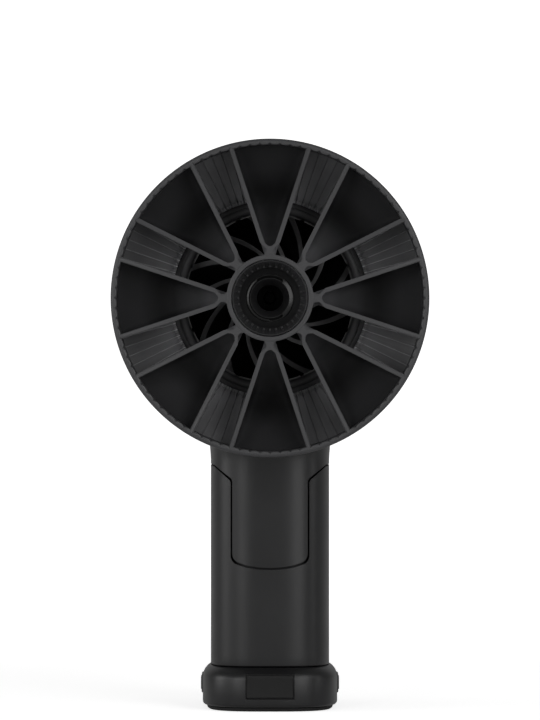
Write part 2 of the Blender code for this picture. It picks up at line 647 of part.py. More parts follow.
def build_barrel(head, grip):
    wall = BARREL_WALL
    clear = BELL_WALL + GAP + 0.1 * MM
    outside = clear + 1.25 * wall
    lead = RIM_DEPTH + GAP
    corner = BARREL_RADIUS + 4.0 * MM
    bore = BARREL_RADIUS - wall
    mouth = BELL_MOUTH_RADIUS + GAP
    bend = bore + 4.5 * MM
    throat = BELL_THROAT_Y
    outline = [
        (mouth, lead), (RIM_RADIUS, lead), (RIM_RADIUS, bell_y(RIM_RADIUS) + outside),
        (corner, bell_y(corner) + outside), (BARREL_RADIUS + 1.7 * MM, throat + 3.4 * MM),
        (BARREL_RADIUS + 0.5 * MM, throat + 6.6 * MM), (BARREL_RADIUS, throat + 10.5 * MM),
        (BARREL_RADIUS, BARREL_END - 0.5 * MM), (BARREL_RADIUS - 0.5 * MM, BARREL_END),
        (bore, BARREL_END), (bore, throat + 6.5 * MM), (bore + 1.0 * MM, throat + 3.0 * MM),
        (bend, bell_y(bend) + clear), (mouth, bell_y(mouth) + clear)]
    housing = piece("barrel_housing", turned(outline), "shell", head)

    neck = helper("neck_column", neck_column(AXIS_HEIGHT - TONGUE_DROP - 2 * MM), grip)
    middle = BARREL_RADIUS - wall / 2
    core_start = throat + 6.0 * MM
    core_end = BARREL_END - wall
    core = [(0, core_start), (middle, core_start), (middle, core_end), (0, core_end)]
    inside = helper("barrel_core", turned(core), head)
    roof = AXIS_HEIGHT - NECK_ROOF
    cavity = helper("neck_cavity", handle_column(AXIS_HEIGHT - TONGUE_DROP - 4 * MM,
                                                 roof, wall=HANDLE_WALL), grip)
    boss = helper("switch_boss", block((-6 * MM, 6 * MM), (-8 * MM, 4 * MM),
                                       (AXIS_HEIGHT - SWITCH_TOP + GAP, roof + 1 * MM)), grip)
    wires = helper("wire_hole", block((WIRE_HOLE_X - WIRE_HOLE_HALF, WIRE_HOLE_X + WIRE_HOLE_HALF),
                                      (WIRE_HOLE_Y - WIRE_HOLE_HALF, WIRE_HOLE_Y + WIRE_HOLE_HALF),
                                      (roof - 3 * MM, roof + 8.5 * MM), 1 * MM), grip)
    window = helper("neck_trigger_window", trigger_window(RUNNING_GAP), grip)

    far = HANDLE_HALF_X + 20 * MM
    below = AXIS_HEIGHT - TONGUE_DROP - 8 * MM
    seam = tongue_outline(0, far) + [(-far, below), (far, below)]
    rear = helper("rear_seam_cut", prism(seam, -HANDLE_HALF_Y - 8 * MM, 1 * MM, "Y"), grip)
    front = helper("front_seam_cut", block((-far, far), (0, HANDLE_HALF_Y + 8 * MM),
                                           (below, AXIS_HEIGHT - SEAM_DROP)), grip)
    combine(cavity, (boss,), "DIFFERENCE")
    combine(neck, (inside, cavity, window, rear, front), "DIFFERENCE")
    combine(housing, (neck,), "UNION")
    combine(housing, (wires,), "DIFFERENCE")

    collar = build_collar(head)
    for k in range(SCREW_COUNT):
        angle = math.pi / 2 + 2 * math.pi * k / SCREW_COUNT
        head_floor = BARREL_RADIUS - SCREW_HEAD_DEPTH - GAP
        hole = radial_rod(SCREW_RADIUS + GAP, COLLAR_BORE - 2 * MM, BARREL_RADIUS + 2 * MM, SCREW_Y, angle)
        sink = radial_rod(SCREW_HEAD_RADIUS + GAP, head_floor, BARREL_RADIUS + 2 * MM, SCREW_Y, angle)
        hole_cut = helper(f"screw_hole_{k + 1}", hole, head)
        combine(housing, (hole_cut, helper(f"screw_sink_{k + 1}", sink, head)), "DIFFERENCE")
        combine(collar, (hole_cut,), "DIFFERENCE")
        outline = [(0, COLLAR_BORE + GAP), (SCREW_RADIUS, COLLAR_BORE + GAP),
                   (SCREW_RADIUS, head_floor + GAP), (SCREW_HEAD_RADIUS, head_floor + GAP),
                   (SCREW_HEAD_RADIUS, BARREL_RADIUS - 0.5 * MM), (SCREW_RADIUS, BARREL_RADIUS - GAP),
                   (0, BARREL_RADIUS - GAP)]
        screw = turned(outline, 12)
        screw.transform(Matrix.Rotation(-math.pi / 2, 4, "Z"))
        screw.transform(Matrix.Translation((0, SCREW_Y, 0)))
        piece(f"collar_screw_{k + 1}", turned_about_y(screw, angle), "steel", head)


def build_collar(head):
    rear = BARREL_END - COLLAR_PLUG
    plug = BARREL_RADIUS - BARREL_WALL - GAP
    flange = BARREL_END + GAP
    shoulder = flange + COLLAR_FLANGE
    groove = shoulder + SEAL_GROOVE_OFFSET
    groove_floor = SPIGOT_RADIUS - SEAL_GROOVE_DEPTH
    end = shoulder + SPIGOT_LENGTH
    ease = 0.6 * MM
    outline = [(COLLAR_BORE, rear), (plug, rear), (plug, flange), (BARREL_RADIUS, flange),
               (BARREL_RADIUS, shoulder), (SPIGOT_RADIUS, shoulder), (SPIGOT_RADIUS, groove),
               (groove_floor, groove), (groove_floor, groove + SEAL_GROOVE_WIDTH),
               (SPIGOT_RADIUS, groove + SEAL_GROOVE_WIDTH), (SPIGOT_RADIUS, end - ease),
               (SPIGOT_RADIUS - ease, end), (COLLAR_BORE, end)]
    collar = piece("front_collar", turned(outline), "guard", head)
    low = groove + GAP
    high = groove + SEAL_GROOVE_WIDTH - GAP
    seal = [(groove_floor + GAP, low), (SPIGOT_RADIUS, low + 0.3 * MM), (SPIGOT_RADIUS, high - 0.3 * MM),
            (groove_floor + GAP, high)]
    piece("nozzle_seal", turned(seal), "rubber", head)
    return collar


def build_nozzle(head):
    start = BARREL_END + 2 * GAP + COLLAR_FLANGE
    skirt_bore = SPIGOT_RADIUS + GAP
    socket_end = start + SPIGOT_LENGTH + 1 * MM
    end = NOZZLE_FRONT - TIP_LIP - GAP
    land = end - TIP_LENGTH + TIP_LIP
    neck_radius = OUTLET_RADIUS + NOZZLE_WALL
    nozzle = [(skirt_bore, start), (BARREL_RADIUS, start), (BARREL_RADIUS, socket_end),
              (BARREL_RADIUS - 0.9 * MM, socket_end + 5 * MM),
              (BARREL_RADIUS - 3.2 * MM, socket_end + 12 * MM),
              (neck_radius + 1.6 * MM, land - 1.2 * MM), (neck_radius, land), (neck_radius, end),
              (OUTLET_RADIUS, end), (OUTLET_RADIUS, land - 2 * MM),
              (BARREL_RADIUS - 5.4 * MM, socket_end + 11 * MM),
              (skirt_bore - 0.6 * MM, socket_end + 3 * MM), (skirt_bore, socket_end)]
    piece("nozzle", turned(nozzle), "shell", head)
    inner = neck_radius + GAP
    outer = inner + TIP_WALL
    ease = 1.4 * MM
    tip_start = land + GAP + 0.6 * MM
    tip = [(inner, tip_start), (outer - 0.6 * MM, tip_start), (outer, land + 2 * MM),
           (outer, NOZZLE_FRONT - ease), (outer - ease, NOZZLE_FRONT),
           (OUTLET_RADIUS + ease, NOZZLE_FRONT), (OUTLET_RADIUS, NOZZLE_FRONT - ease),
           (OUTLET_RADIUS, end + GAP), (inner, end + GAP)]
    piece("nozzle_tip", turned(tip), "rubber", head)


# --- fan and motor --------------------------------------------------------------------
def build_fan_housing(head):
    lip_centre = (DUCT_RADIUS + LIP_RADIUS, DUCT_START)
    lip = arc(lip_centre, LIP_RADIUS, 180, 360, 6)
    outer = DUCT_RADIUS + DUCT_WALL
    duct = lip + [(lip_centre[0] + LIP_RADIUS, DUCT_START + 1.6 * MM), (outer, DUCT_START + 2.8 * MM),
                  (outer, DUCT_END), (DUCT_RADIUS, DUCT_END)]
    housing = piece("stator_housing", turned(duct), "nylon", head)
    seat = BEARING_RADIUS + GAP
    sleeve = seat + BEARING_SLEEVE
    front_wall = CAN_START + CAN_WALL
    inner = CAN_RADIUS - CAN_WALL
    can = [(seat, CAN_START), (CAN_RADIUS - 0.8 * MM, CAN_START), (CAN_RADIUS, CAN_START + 0.8 * MM),
           (CAN_RADIUS, CAN_END), (inner, CAN_END), (inner, front_wall), (sleeve, front_wall),
           (sleeve, CAN_START + BEARING_WIDTH + 2 * MM), (seat, CAN_START + BEARING_WIDTH + 2 * MM)]
    half = VANE_THICKNESS / 2
    vanes = []
    for k in range(VANE_COUNT):
        vane = block((CAN_RADIUS - 1 * MM, DUCT_RADIUS + 1 * MM), (VANE_START, VANE_END), (-half, half))
        vanes.append(turned_about_y(vane, 2 * math.pi * (k + 0.5) / VANE_COUNT))
    vane_set = helper("stator_vanes", merge(vanes), head)
    combine(housing, (vane_set, helper("motor_can", turned(can), head)), "UNION")

    for k, place in enumerate(MOUNT_RING_PLACES):
        ring = ring_outline(outer + GAP, BARREL_RADIUS - BARREL_WALL - GAP,
                            place - MOUNT_RING_WIDTH / 2, place + MOUNT_RING_WIDTH / 2)
        piece(("front_mount_ring", "rear_mount_ring")[k], turned(ring), "rubber", head)


def hub_radius(y):
    """Outside of the impeller's hub between its blades."""
    share = (y - BLADE_START) / (BLADE_END - BLADE_START)
    return FAN_HUB_RADIUS + FAN_HUB_GROWTH * share


def blade_shape(angle):
    """One swept and twisted blade, rooted just under the hub's surface."""
    tip = DUCT_RADIUS - RUNNING_GAP
    spans = 4
    chords = 2
    front = []
    back = []
    for j in range(chords + 1):
        share = j / chords
        y = BLADE_START + (BLADE_END - BLADE_START) * share
        root = hub_radius(y) - 0.8 * MM
        front_row = []
        back_row = []
        for i in range(spans + 1):
            radius = root + (tip - root) * i / spans
            sweep = BLADE_SWEEP * (max(radius - 1.05 * HUB_RADIUS, 0) / (tip - 1.05 * HUB_RADIUS)) ** 0.8
            turn = angle + sweep + BLADE_TWIST * share
            half = BLADE_THICKNESS / 2 / radius
            front_row.append((radius * math.cos(turn - half), y, radius * math.sin(turn - half)))
            back_row.append((radius * math.cos(turn + half), y, radius * math.sin(turn + half)))
        front.append(front_row)
        back.append(back_row)
    return sheet(front, back)


def build_rotor(head):
    bore = SHAFT_RADIUS + GAP
    front = BLADE_START - 1.0 * MM
    back = BLADE_END + 0.5 * MM
    boss = FAN_BOSS_RADIUS
    wall = FAN_HUB_WALL
    web_back = front + 3.5 * MM
    hub = [(bore, front), (hub_radius(front) - 2 * MM, front),
           (hub_radius(BLADE_START), BLADE_START + 1 * MM), (hub_radius(back), back),
           (hub_radius(back) - wall, back), (hub_radius(front) - wall, web_back),
           (boss, web_back), (boss, back), (bore, back)]
    impeller = piece("impeller", turned(hub, 2 * BLADE_COUNT), "matt_black", head)
    blades = [blade_shape(BLADE_PHASE + 2 * math.pi * k / BLADE_COUNT) for k in range(BLADE_COUNT)]
    combine(impeller, (helper("impeller_blades", merge(blades), head),), "UNION")

    nut_end = front - GAP
    nut_bore = bore / math.cos(math.pi / 6)
    nut = turned(ring_outline(nut_bore, NUT_RADIUS, nut_end - NUT_HEIGHT, nut_end), 6)
    piece("impeller_nut", nut, "steel", head)
    shaft_start = nut_end - NUT_HEIGHT - 1.2 * MM
    shaft_end = CAN_END
    ease = 0.4 * MM
    shaft = [(0, shaft_start), (SHAFT_RADIUS - ease, shaft_start), (SHAFT_RADIUS, shaft_start + ease),
             (SHAFT_RADIUS, shaft_end - ease), (SHAFT_RADIUS - ease, shaft_end), (0, shaft_end)]
    piece("motor_shaft", turned(shaft, 24), "steel", head)
    magnet = turned(ring_outline(bore, MAGNET_RADIUS, MAGNET_START, MAGNET_END), 24)
    piece("rotor_magnet", magnet, "magnet", head)


def build_motor(head):
    bore = SHAFT_RADIUS + GAP
    places = (("front_bearing", CAN_START + 1.2 * MM),
              ("rear_bearing", CAN_END - CAP_LIP - GAP - BEARING_WIDTH))
    for name, start in places:
        ease = 0.5 * MM
        stop = start + BEARING_WIDTH
        ring = [(bore, start), (BEARING_RADIUS - ease, start), (BEARING_RADIUS, start + ease),
                (BEARING_RADIUS, stop - ease), (BEARING_RADIUS - ease, stop), (bore, stop)]
        piece(name, turned(ring, 24), "steel", head)
    core_outer = CAN_RADIUS - CAN_WALL - GAP
    core_inner = core_outer - CORE_THICKNESS
    core = turned(ring_outline(core_inner, core_outer, CORE_START, CORE_END), 24)
    piece("stator_core", core, "magnet", head)
    coil_inner = MAGNET_RADIUS + RUNNING_GAP
    coil_outer = core_inner - GAP
    low = CAN_START + BEARING_WIDTH + 2.6 * MM
    high = CAN_END - 7.2 * MM
    crown = [(coil_inner, low + 1 * MM), (coil_inner + 1.4 * MM, low), (coil_outer - 1 * MM, low),
             (coil_outer, low + 1.5 * MM), (coil_outer, high - 1.5 * MM), (coil_outer - 1 * MM, high),
             (coil_inner + 1.4 * MM, high), (coil_inner, high - 1 * MM)]
    piece("stator_windings", turned(crown, 24), "copper", head)
    seat = BEARING_RADIUS + GAP
    sleeve = seat + BEARING_SLEEVE
    sleeve_start = CAN_END - BEARING_WIDTH - 1.5 * MM
    hole = bore + 0.5 * MM
    cap = [(seat, sleeve_start), (sleeve, sleeve_start), (sleeve, CAN_END - CAP_THICKNESS),
           (core_outer, CAN_END - CAP_THICKNESS), (core_outer, CAN_END), (hole, CAN_END),
           (hole, CAN_END - CAP_LIP), (seat, CAN_END - CAP_LIP)]
    piece("motor_end_cap", turned(cap, 24), "nylon", head)
    base = CAN_END + GAP
    recess = CAN_RADIUS - 3.5 * MM
    cone = [(0, base + 1.7 * MM), (recess, base + 1.7 * MM), (recess, base), (CAN_RADIUS - 0.2 * MM, base),
            (CAN_RADIUS - 0.4 * MM, base + 6 * MM)]
    cone += [(CAN_RADIUS * width, base + CONE_LENGTH * share)
             for width, share in ((0.86, 0.46), (0.64, 0.73), (0.36, 0.91), (0.14, 0.99), (0, 1))]
    piece("tail_cone", turned(cone, 24), "matt_black", head)


# --- handle ---------------------------------------------------------------------------
def build_grip(grip):
    low = FOOT_TOP + GAP
    high = AXIS_HEIGHT - SEAM_DROP + 4 * MM
    shell = piece("grip_shell", handle_column(low, high), "soft_grip", grip)
    cavity = helper("grip_cavity", handle_column(low - 2 * MM, high + 2 * MM, wall=HANDLE_WALL), grip)
    far = HANDLE_HALF_X + 20 * MM
    above = high + 6 * MM
    seam = tongue_outline(SEAM_GAP, far) + [(-far, above), (far, above)]
    rear = helper("grip_rear_cut", prism(seam, -HANDLE_HALF_Y - 8 * MM, 1 * MM, "Y"), grip)
    front = helper("grip_front_cut", block((-far, far), (0, HANDLE_HALF_Y + 8 * MM),
                                           (AXIS_HEIGHT - SEAM_DROP - SEAM_GAP, above)), grip)
    window = helper("grip_trigger_window", trigger_window(RUNNING_GAP), grip)
    combine(shell, (cavity, rear, front, window), "DIFFERENCE")


def build_trigger(grip):
    top = AXIS_HEIGHT - TRIGGER_TOP
    bottom = AXIS_HEIGHT - TRIGGER_BOTTOM
    middle = (top + bottom) / 2
    half = TRIGGER_WIDTH / 2
    inner = HANDLE_HALF_Y - HANDLE_WALL - 4.2 * MM
    reach = TRIGGER_REACH
    side = [(inner, bottom), (reach - 3.0 * MM, bottom), (reach - 1.2 * MM, bottom + 1.4 * MM),
            (reach - 2.6 * MM, bottom + 6 * MM), (reach - 3.6 * MM, middle - 1 * MM),
            (reach - 3.0 * MM, middle + 5 * MM), (reach - 0.6 * MM, top - 2.4 * MM),
            (reach - 1.8 * MM, top), (inner, top)]
    body = prism(side, -half, half, "X")
    rim = [edge for edge in body.edges
           if all(abs(vert.co.x) > half * 0.99 and vert.co.y > inner + 1 * MM for vert in edge.verts)]
    bmesh.ops.bevel(body, geom=rim, offset=1.0 * MM, segments=2, affect="EDGES")
    trigger = piece("trigger", body, "guard", grip)
    flange = TRIGGER_FLANGE
    lip = TRIGGER_FLANGE_LIP
    face = HANDLE_HALF_Y - HANDLE_WALL - 1.1 * MM
    plate = helper("trigger_flange", block((-half - lip, half + lip), (face - flange, face),
                                           (bottom - lip, top + lip)), grip)
    combine(trigger, (plate,), "UNION")

    centre_z = AXIS_HEIGHT - (SWITCH_TOP + SWITCH_BOTTOM) / 2
    switch = piece("trigger_switch", block((-SWITCH_HALF_X, SWITCH_HALF_X), (SWITCH_BACK, SWITCH_FRONT),
                                           (AXIS_HEIGHT - SWITCH_BOTTOM, AXIS_HEIGHT - SWITCH_TOP), 0.8 * MM),
                   "nylon", grip)
    back_face = face - flange - GAP
    bore_end = SWITCH_FRONT - PLUNGER_REACH - TRIGGER_TRAVEL - 1.0 * MM
    bore = helper("plunger_bore", rod(PLUNGER_RADIUS + RUNNING_GAP, (0, bore_end, centre_z),
                                      (0, SWITCH_FRONT + 2 * MM, centre_z), (0, 1, 0), 20), grip)
    combine(switch, (bore,), "DIFFERENCE")
    piece("trigger_plunger", rod(PLUNGER_RADIUS, (0, SWITCH_FRONT - PLUNGER_REACH, centre_z),
                                 (0, back_face, centre_z), (0, 1, 0), 20), "steel", grip)
    spring_start = SWITCH_FRONT + GAP
    piece("trigger_spring", coil(3.2 * MM, 0.4 * MM, (0, spring_start, centre_z),
                                 back_face - spring_start, 5, (0, 1, 0)), "steel", grip)


def build_electronics(grip):
    board_front = SWITCH_BACK - GAP
    board_back = board_front - BOARD_THICKNESS
    switch_low = AXIS_HEIGHT - SWITCH_BOTTOM
    low = switch_low + 1 * MM
    high = AXIS_HEIGHT - SWITCH_TOP - 0.5 * MM
    half = CONTROL_BOARD_HALF_X
    board = block((-half, half), (board_back, board_front), (low, high))
    piece("control_board", board, "board_green", grip)
    centre_y = board_back - GAP - CAPACITOR_RADIUS
    capacitor = rod(CAPACITOR_RADIUS, (0, centre_y, low + 1 * MM),
                    (0, centre_y, high - 4 * MM), (0, 0, 1), 20)
    piece("board_capacitor", capacitor, "gloss_black", grip)
    terminal_high = switch_low - GAP
    terminal = block((-10 * MM, 10 * MM), (-8 * MM, 8 * MM),
                     (terminal_high - TERMINAL_THICKNESS, terminal_high), 0.4 * MM)
    piece("terminal_block", terminal, "nylon", grip)


# --- battery --------------------------------------------------------------------------
def build_battery(grip):
    case_x = HANDLE_HALF_X - HANDLE_WALL - GAP
    case_y = HANDLE_HALF_Y - HANDLE_WALL - GAP
    outside = lofted([column_section(case_x, case_y, level) for level in (CASE_LOW, CASE_HIGH)])
    case = piece("battery_case", outside, "nylon", grip)
    hollow = lofted([column_section(case_x - CASE_WALL, case_y - CASE_WALL, level)
                     for level in (CASE_LOW + CASE_WALL, CASE_HIGH + 2 * MM)])
    combine(case, (helper("case_hollow", hollow, grip),), "DIFFERENCE")
    ease = 0.5 * MM
    lid = lofted([column_section(case_x, case_y, LID_LOW),
                  column_section(case_x, case_y, LID_LOW + LID_THICKNESS - ease),
                  column_section(case_x - ease, case_y - ease, LID_LOW + LID_THICKNESS)])
    piece("battery_lid", lid, "nylon", grip)
    half = CELL_SPACING / 2
    for k, (x, y) in enumerate(((-half, -half), (half, -half), (-half, half), (half, half))):
        piece(f"battery_cell_{k + 1}", rod(CELL_RADIUS, (x, y, CELL_LOW), (x, y, CELL_LOW + CELL_LENGTH),
                                             (0, 0, 1), 32), "cell_wrap", grip)


def foot_section(grow, z):
    return column_section(FOOT_HALF_X + grow, FOOT_HALF_Y + grow, z)


def build_foot(grip):
    low = PAD_THICKNESS + GAP
    narrow = HANDLE_HALF_X - FOOT_HALF_X
    outside = lofted([foot_section(-1.0 * MM, low), foot_section(0, low + 1.0 * MM),
                      foot_section(0, FOOT_TOP - 4 * MM), foot_section(narrow / 2, FOOT_TOP - 1.6 * MM),
                      foot_section(narrow, FOOT_TOP)])
    foot = piece("battery_foot", outside, "shell", grip)
    floor = low + FOOT_FLOOR
    hollow = helper("foot_hollow", lofted([foot_section(narrow - FOOT_WALL, level)
                                           for level in (floor, FOOT_TOP + 2 * MM)]), grip)
    rib_outer = FOOT_RIB_OUTER
    rib_inner = rib_outer - FOOT_RIB_THICKNESS
    rib_top = LATCH_HIGH + 1.0 * MM
    ribs = [helper(name, block(span, (-9 * MM, 9 * MM), (floor - 1 * MM, rib_top)), grip)
            for name, span in (("left_rib", (-rib_outer, -rib_inner)),
                               ("right_rib", (rib_inner, rib_outer)))]
    board_low = floor + 2.4 * MM
    post = helper("board_post", block((-9 * MM, 9 * MM), (-14 * MM, 14 * MM),
                                      (floor - 1 * MM, board_low - GAP)), grip)
    slot = RUNNING_GAP
    slots = helper("latch_slots", block((-FOOT_HALF_X - 2 * MM, FOOT_HALF_X + 2 * MM),
                                        (-LATCH_HALF_Y - slot, LATCH_HALF_Y + slot),
                                        (LATCH_LOW - slot, LATCH_HIGH + slot)), grip)
    recess_y = -FOOT_HALF_Y + PORT_RECESS
    recess = helper("port_recess", block((-PORT_COVER_HALF_X - slot, PORT_COVER_HALF_X + slot),
                                         (-FOOT_HALF_Y - 2 * MM, recess_y),
                                         (PORT_COVER_LOW - slot, PORT_COVER_HIGH + slot)), grip)
    port_low = board_low + BOARD_THICKNESS + GAP
    port_high = port_low + PORT_HEIGHT
    opening = helper("port_opening", block((-PORT_HALF_X - GAP, PORT_HALF_X + GAP),
                                           (-FOOT_HALF_Y - 2 * MM, -FOOT_HALF_Y + 10 * MM),
                                           (port_low - GAP, port_high + GAP)), grip)
    combine(foot, (hollow, slots), "DIFFERENCE")
    combine(foot, (*ribs, post), "UNION")
    combine(foot, (recess, opening), "DIFFERENCE")

    pad = lofted([column_section(FOOT_HALF_X - 2 * MM, FOOT_HALF_Y - 2 * MM, 0),
                  column_section(FOOT_HALF_X - 1.6 * MM, FOOT_HALF_Y - 1.6 * MM, PAD_THICKNESS)])
    piece("foot_pad", pad, "rubber", grip)
    board = block((-12 * MM, 12 * MM), (recess_y + 6.2 * MM, 18 * MM),
                  (board_low, board_low + BOARD_THICKNESS))
    piece("pack_board", board, "board_green", grip)
    port = piece("charge_port", block((-PORT_HALF_X, PORT_HALF_X), (recess_y + 0.5 * MM, recess_y + 8 * MM),
                                      (port_low, port_high), PORT_WALL), "steel", grip)
    mouth = helper("port_mouth", block((-PORT_HALF_X + PORT_WALL, PORT_HALF_X - PORT_WALL),
                                       (recess_y - 1 * MM, recess_y + 6 * MM),
                                       (port_low + PORT_WALL, port_high - PORT_WALL)), grip)
    combine(port, (mouth,), "DIFFERENCE")
    build_port_cover(grip, recess_y)
    build_latches(grip)


def build_port_cover(grip, recess_y):
    """The rubber flap, with its origin on its hinge line."""
    half = PORT_COVER_THICKNESS / 2
    hinge_y = recess_y - GAP - half
    hinge_z = PORT_COVER_LOW + half
    height = PORT_COVER_HIGH - hinge_z
    ease = 0.4 * MM
    outline = arc((0, 0), half, 180, 360, 6)
    outline += [(half, height), (-half + ease, height), (-half, height - ease)]
    cover = prism(outline, -PORT_COVER_HALF_X, PORT_COVER_HALF_X, "X")
    piece("port_cover", cover, "rubber", grip, (0, hinge_y, hinge_z))


def build_latches(grip):
    spread = LATCH_SPREAD
    reach = (LATCH_HALF_Y + spread) / (HANDLE_HALF_X - FOOT_HALF_X + FOOT_HALF_Y - FOOT_WALL)
    inner_wall = (HANDLE_HALF_X - FOOT_WALL) * (1 - reach ** HANDLE_EXPONENT) ** (1 / HANDLE_EXPONENT)
    flange_x = inner_wall - RUNNING_GAP
    thickness = LATCH_FLANGE
    centre_z = (LATCH_LOW + LATCH_HIGH) / 2
    for side, sign in (("left", -1), ("right", 1)):
        def span(low, high):
            return (low, high) if sign > 0 else (-high, -low)
        button = block(span(flange_x - thickness / 2, FOOT_HALF_X + LATCH_PROUD),
                       (-LATCH_HALF_Y, LATCH_HALF_Y), (LATCH_LOW, LATCH_HIGH), 0.5 * MM)
        latch = piece(f"{side}_latch_button", button, "guard", grip)
        plate = helper(f"{side}_latch_flange", block(span(flange_x - thickness, flange_x),
                                                     (-LATCH_HALF_Y - spread, LATCH_HALF_Y + spread),
                                                     (LATCH_LOW - 0.8 * MM, LATCH_HIGH + spread)), grip)
        combine(latch, (plate,), "UNION")
        start = FOOT_RIB_OUTER + GAP
        length = flange_x - thickness - GAP - start
        piece(f"{side}_latch_spring", coil(2.4 * MM, 0.3 * MM, (sign * start, 0, centre_z), length, 3,
                                           (sign, 0, 0)), "steel", grip)


def main():
    clear_scene()
    half_length = NOZZLE_FRONT / 2
    head = empty("head_axis", (0, -half_length, AXIS_HEIGHT))
    grip = empty("grip_axis", (0, HANDLE_Y - half_length, 0))
    build_guard(head)
    build_baffle(head)
    build_bell(head)
    build_hub_cup(head)
    build_barrel(head, grip)
    build_nozzle(head)
    build_fan_housing(head)
    build_rotor(head)
    build_motor(head)
    build_grip(grip)
    build_trigger(grip)
    build_electronics(grip)
    build_battery(grip)
    build_foot(grip)


main()
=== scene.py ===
"""Looks of a cordless car dryer blower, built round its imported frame.

Shapes are drawn in millimetres.  Head pieces turn round the Y axis, with y = 0 at the
front plane of the intake guard; handle pieces stand on the floor at z = 0.  Each piece is
placed in its mesh, so every object sits at the origin.
"""

import json
import logging
import math
from collections.abc import Iterable, Sequence
from dataclasses import dataclass, field
from enum import Enum
from functools import cache

import bmesh
import bpy
from mathutils import Matrix, Vector

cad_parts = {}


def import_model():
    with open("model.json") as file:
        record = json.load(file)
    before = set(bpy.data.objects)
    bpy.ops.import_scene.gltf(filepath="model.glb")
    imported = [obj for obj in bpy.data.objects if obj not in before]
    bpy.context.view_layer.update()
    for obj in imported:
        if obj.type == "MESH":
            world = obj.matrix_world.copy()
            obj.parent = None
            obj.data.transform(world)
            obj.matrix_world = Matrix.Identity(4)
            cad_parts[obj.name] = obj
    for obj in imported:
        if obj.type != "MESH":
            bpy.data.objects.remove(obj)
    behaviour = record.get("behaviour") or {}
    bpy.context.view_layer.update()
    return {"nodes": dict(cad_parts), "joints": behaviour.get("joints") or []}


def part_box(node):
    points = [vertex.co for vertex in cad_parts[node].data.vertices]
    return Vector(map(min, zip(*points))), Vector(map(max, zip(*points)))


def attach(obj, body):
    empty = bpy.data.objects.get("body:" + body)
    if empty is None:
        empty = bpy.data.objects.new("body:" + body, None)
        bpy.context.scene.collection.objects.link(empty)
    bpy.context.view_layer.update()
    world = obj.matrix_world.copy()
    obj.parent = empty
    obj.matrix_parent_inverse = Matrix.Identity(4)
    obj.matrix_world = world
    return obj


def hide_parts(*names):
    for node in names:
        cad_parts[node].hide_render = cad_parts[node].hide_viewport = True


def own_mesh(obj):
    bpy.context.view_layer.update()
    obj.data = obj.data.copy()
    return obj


MM = 0.001
SEGMENTS = 192            # round a turned piece
SHARP = math.radians(38)  # a crease above this angle stays crisp
WELD = 2e-7               # vertices closer than this, in metres, become one
WAVE_PERIOD = 0.314       # the width of one wave of a wave texture at scale 1

Point = tuple[float, float, float]
Range = tuple[float, float]
Outline = list[tuple[float, float]]
Colour = tuple[float, float, float]

log = logging.getLogger("blower")


class Where(Enum):
    """The two origins that pieces are drawn from."""

    HEAD = "head"
    GRIP = "grip"


class Join(Enum):
    """What a Boolean step does with the other shape."""

    ADD = "UNION"
    CUT = "DIFFERENCE"


# --- node trees -----------------------------------------------------------------------
class Wire:
    """An output socket of a node tree, with arithmetic that adds Math nodes."""

    def __init__(self, web: "Web", socket: bpy.types.NodeSocket) -> None:
        """Keep the socket and the tree that it is in."""
        self.web = web
        self.socket = socket

    def other(self, name: str) -> "Wire":
        """Return another output of the same node."""
        return Wire(self.web, self.socket.node.outputs[name])

    def _maths(self, operation: str, *values: "Wire | float") -> "Wire":
        """Add one Math node.

        Args:
            operation: the node's operation.
            values: its inputs, in order.

        Returns:
            The node's result.
        """
        return self.web.node("ShaderNodeMath", {"operation": operation}, dict(enumerate(values)))

    def __add__(self, value: "Wire | float") -> "Wire":
        """Return self + value."""
        return self._maths("ADD", self, value)

    def __sub__(self, value: "Wire | float") -> "Wire":
        """Return self - value."""
        return self._maths("SUBTRACT", self, value)

    def __rsub__(self, value: "Wire | float") -> "Wire":
        """Return value - self."""
        return self._maths("SUBTRACT", value, self)

    def __mul__(self, value: "Wire | float") -> "Wire":
        """Return self * value."""
        return self._maths("MULTIPLY", self, value)

    def __truediv__(self, value: "Wire | float") -> "Wire":
        """Return self / value."""
        return self._maths("DIVIDE", self, value)

    def power(self, value: "Wire | float") -> "Wire":
        """Return self to the power of value."""
        return self._maths("POWER", self, value)

    def angle_to(self, value: "Wire | float") -> "Wire":
        """Return the angle whose tangent is self / value."""
        return self._maths("ARCTAN2", self, value)

    def either(self, value: "Wire | float") -> "Wire":
        """Return the larger of self and value."""
        return self._maths("MAXIMUM", self, value)


class Web:
    """A node tree that is being written."""

    def __init__(self, tree: bpy.types.NodeTree) -> None:
        """Keep the tree."""
        self.tree = tree

    def node(self, kind: str, settings: dict | None = None, inputs: dict | None = None) -> Wire:
        """Add a node.

        Args:
            kind: the node's type.
            settings: its properties, set first; "stops" holds a ramp's (place, grey) pairs.
            inputs: a Wire or a plain value for each input, by name or by number.

        Returns:
            The node's first output, or its first input's stand-in for an output node.
        """
        made = self.tree.nodes.new(kind)
        for name, value in (settings or {}).items():
            if name == "stops":
                self._ramp(made, value)
            else:
                setattr(made, name, value)
        for name, value in (inputs or {}).items():
            if isinstance(value, Wire):
                self.tree.links.new(value.socket, made.inputs[name])
            else:
                made.inputs[name].default_value = value
        return Wire(self, made.outputs[0]) if made.outputs else Wire(self, made.inputs[0])

    @staticmethod
    def _ramp(made: bpy.types.Node, stops: Sequence[tuple[float, float]]) -> None:
        """Set a colour ramp's stops to greys."""
        elements = made.color_ramp.elements
        while len(elements) < len(stops):
            elements.new(1.0)
        for element, (place, grey) in zip(elements, stops):
            element.position = place
            element.color = (grey, grey, grey, 1.0)


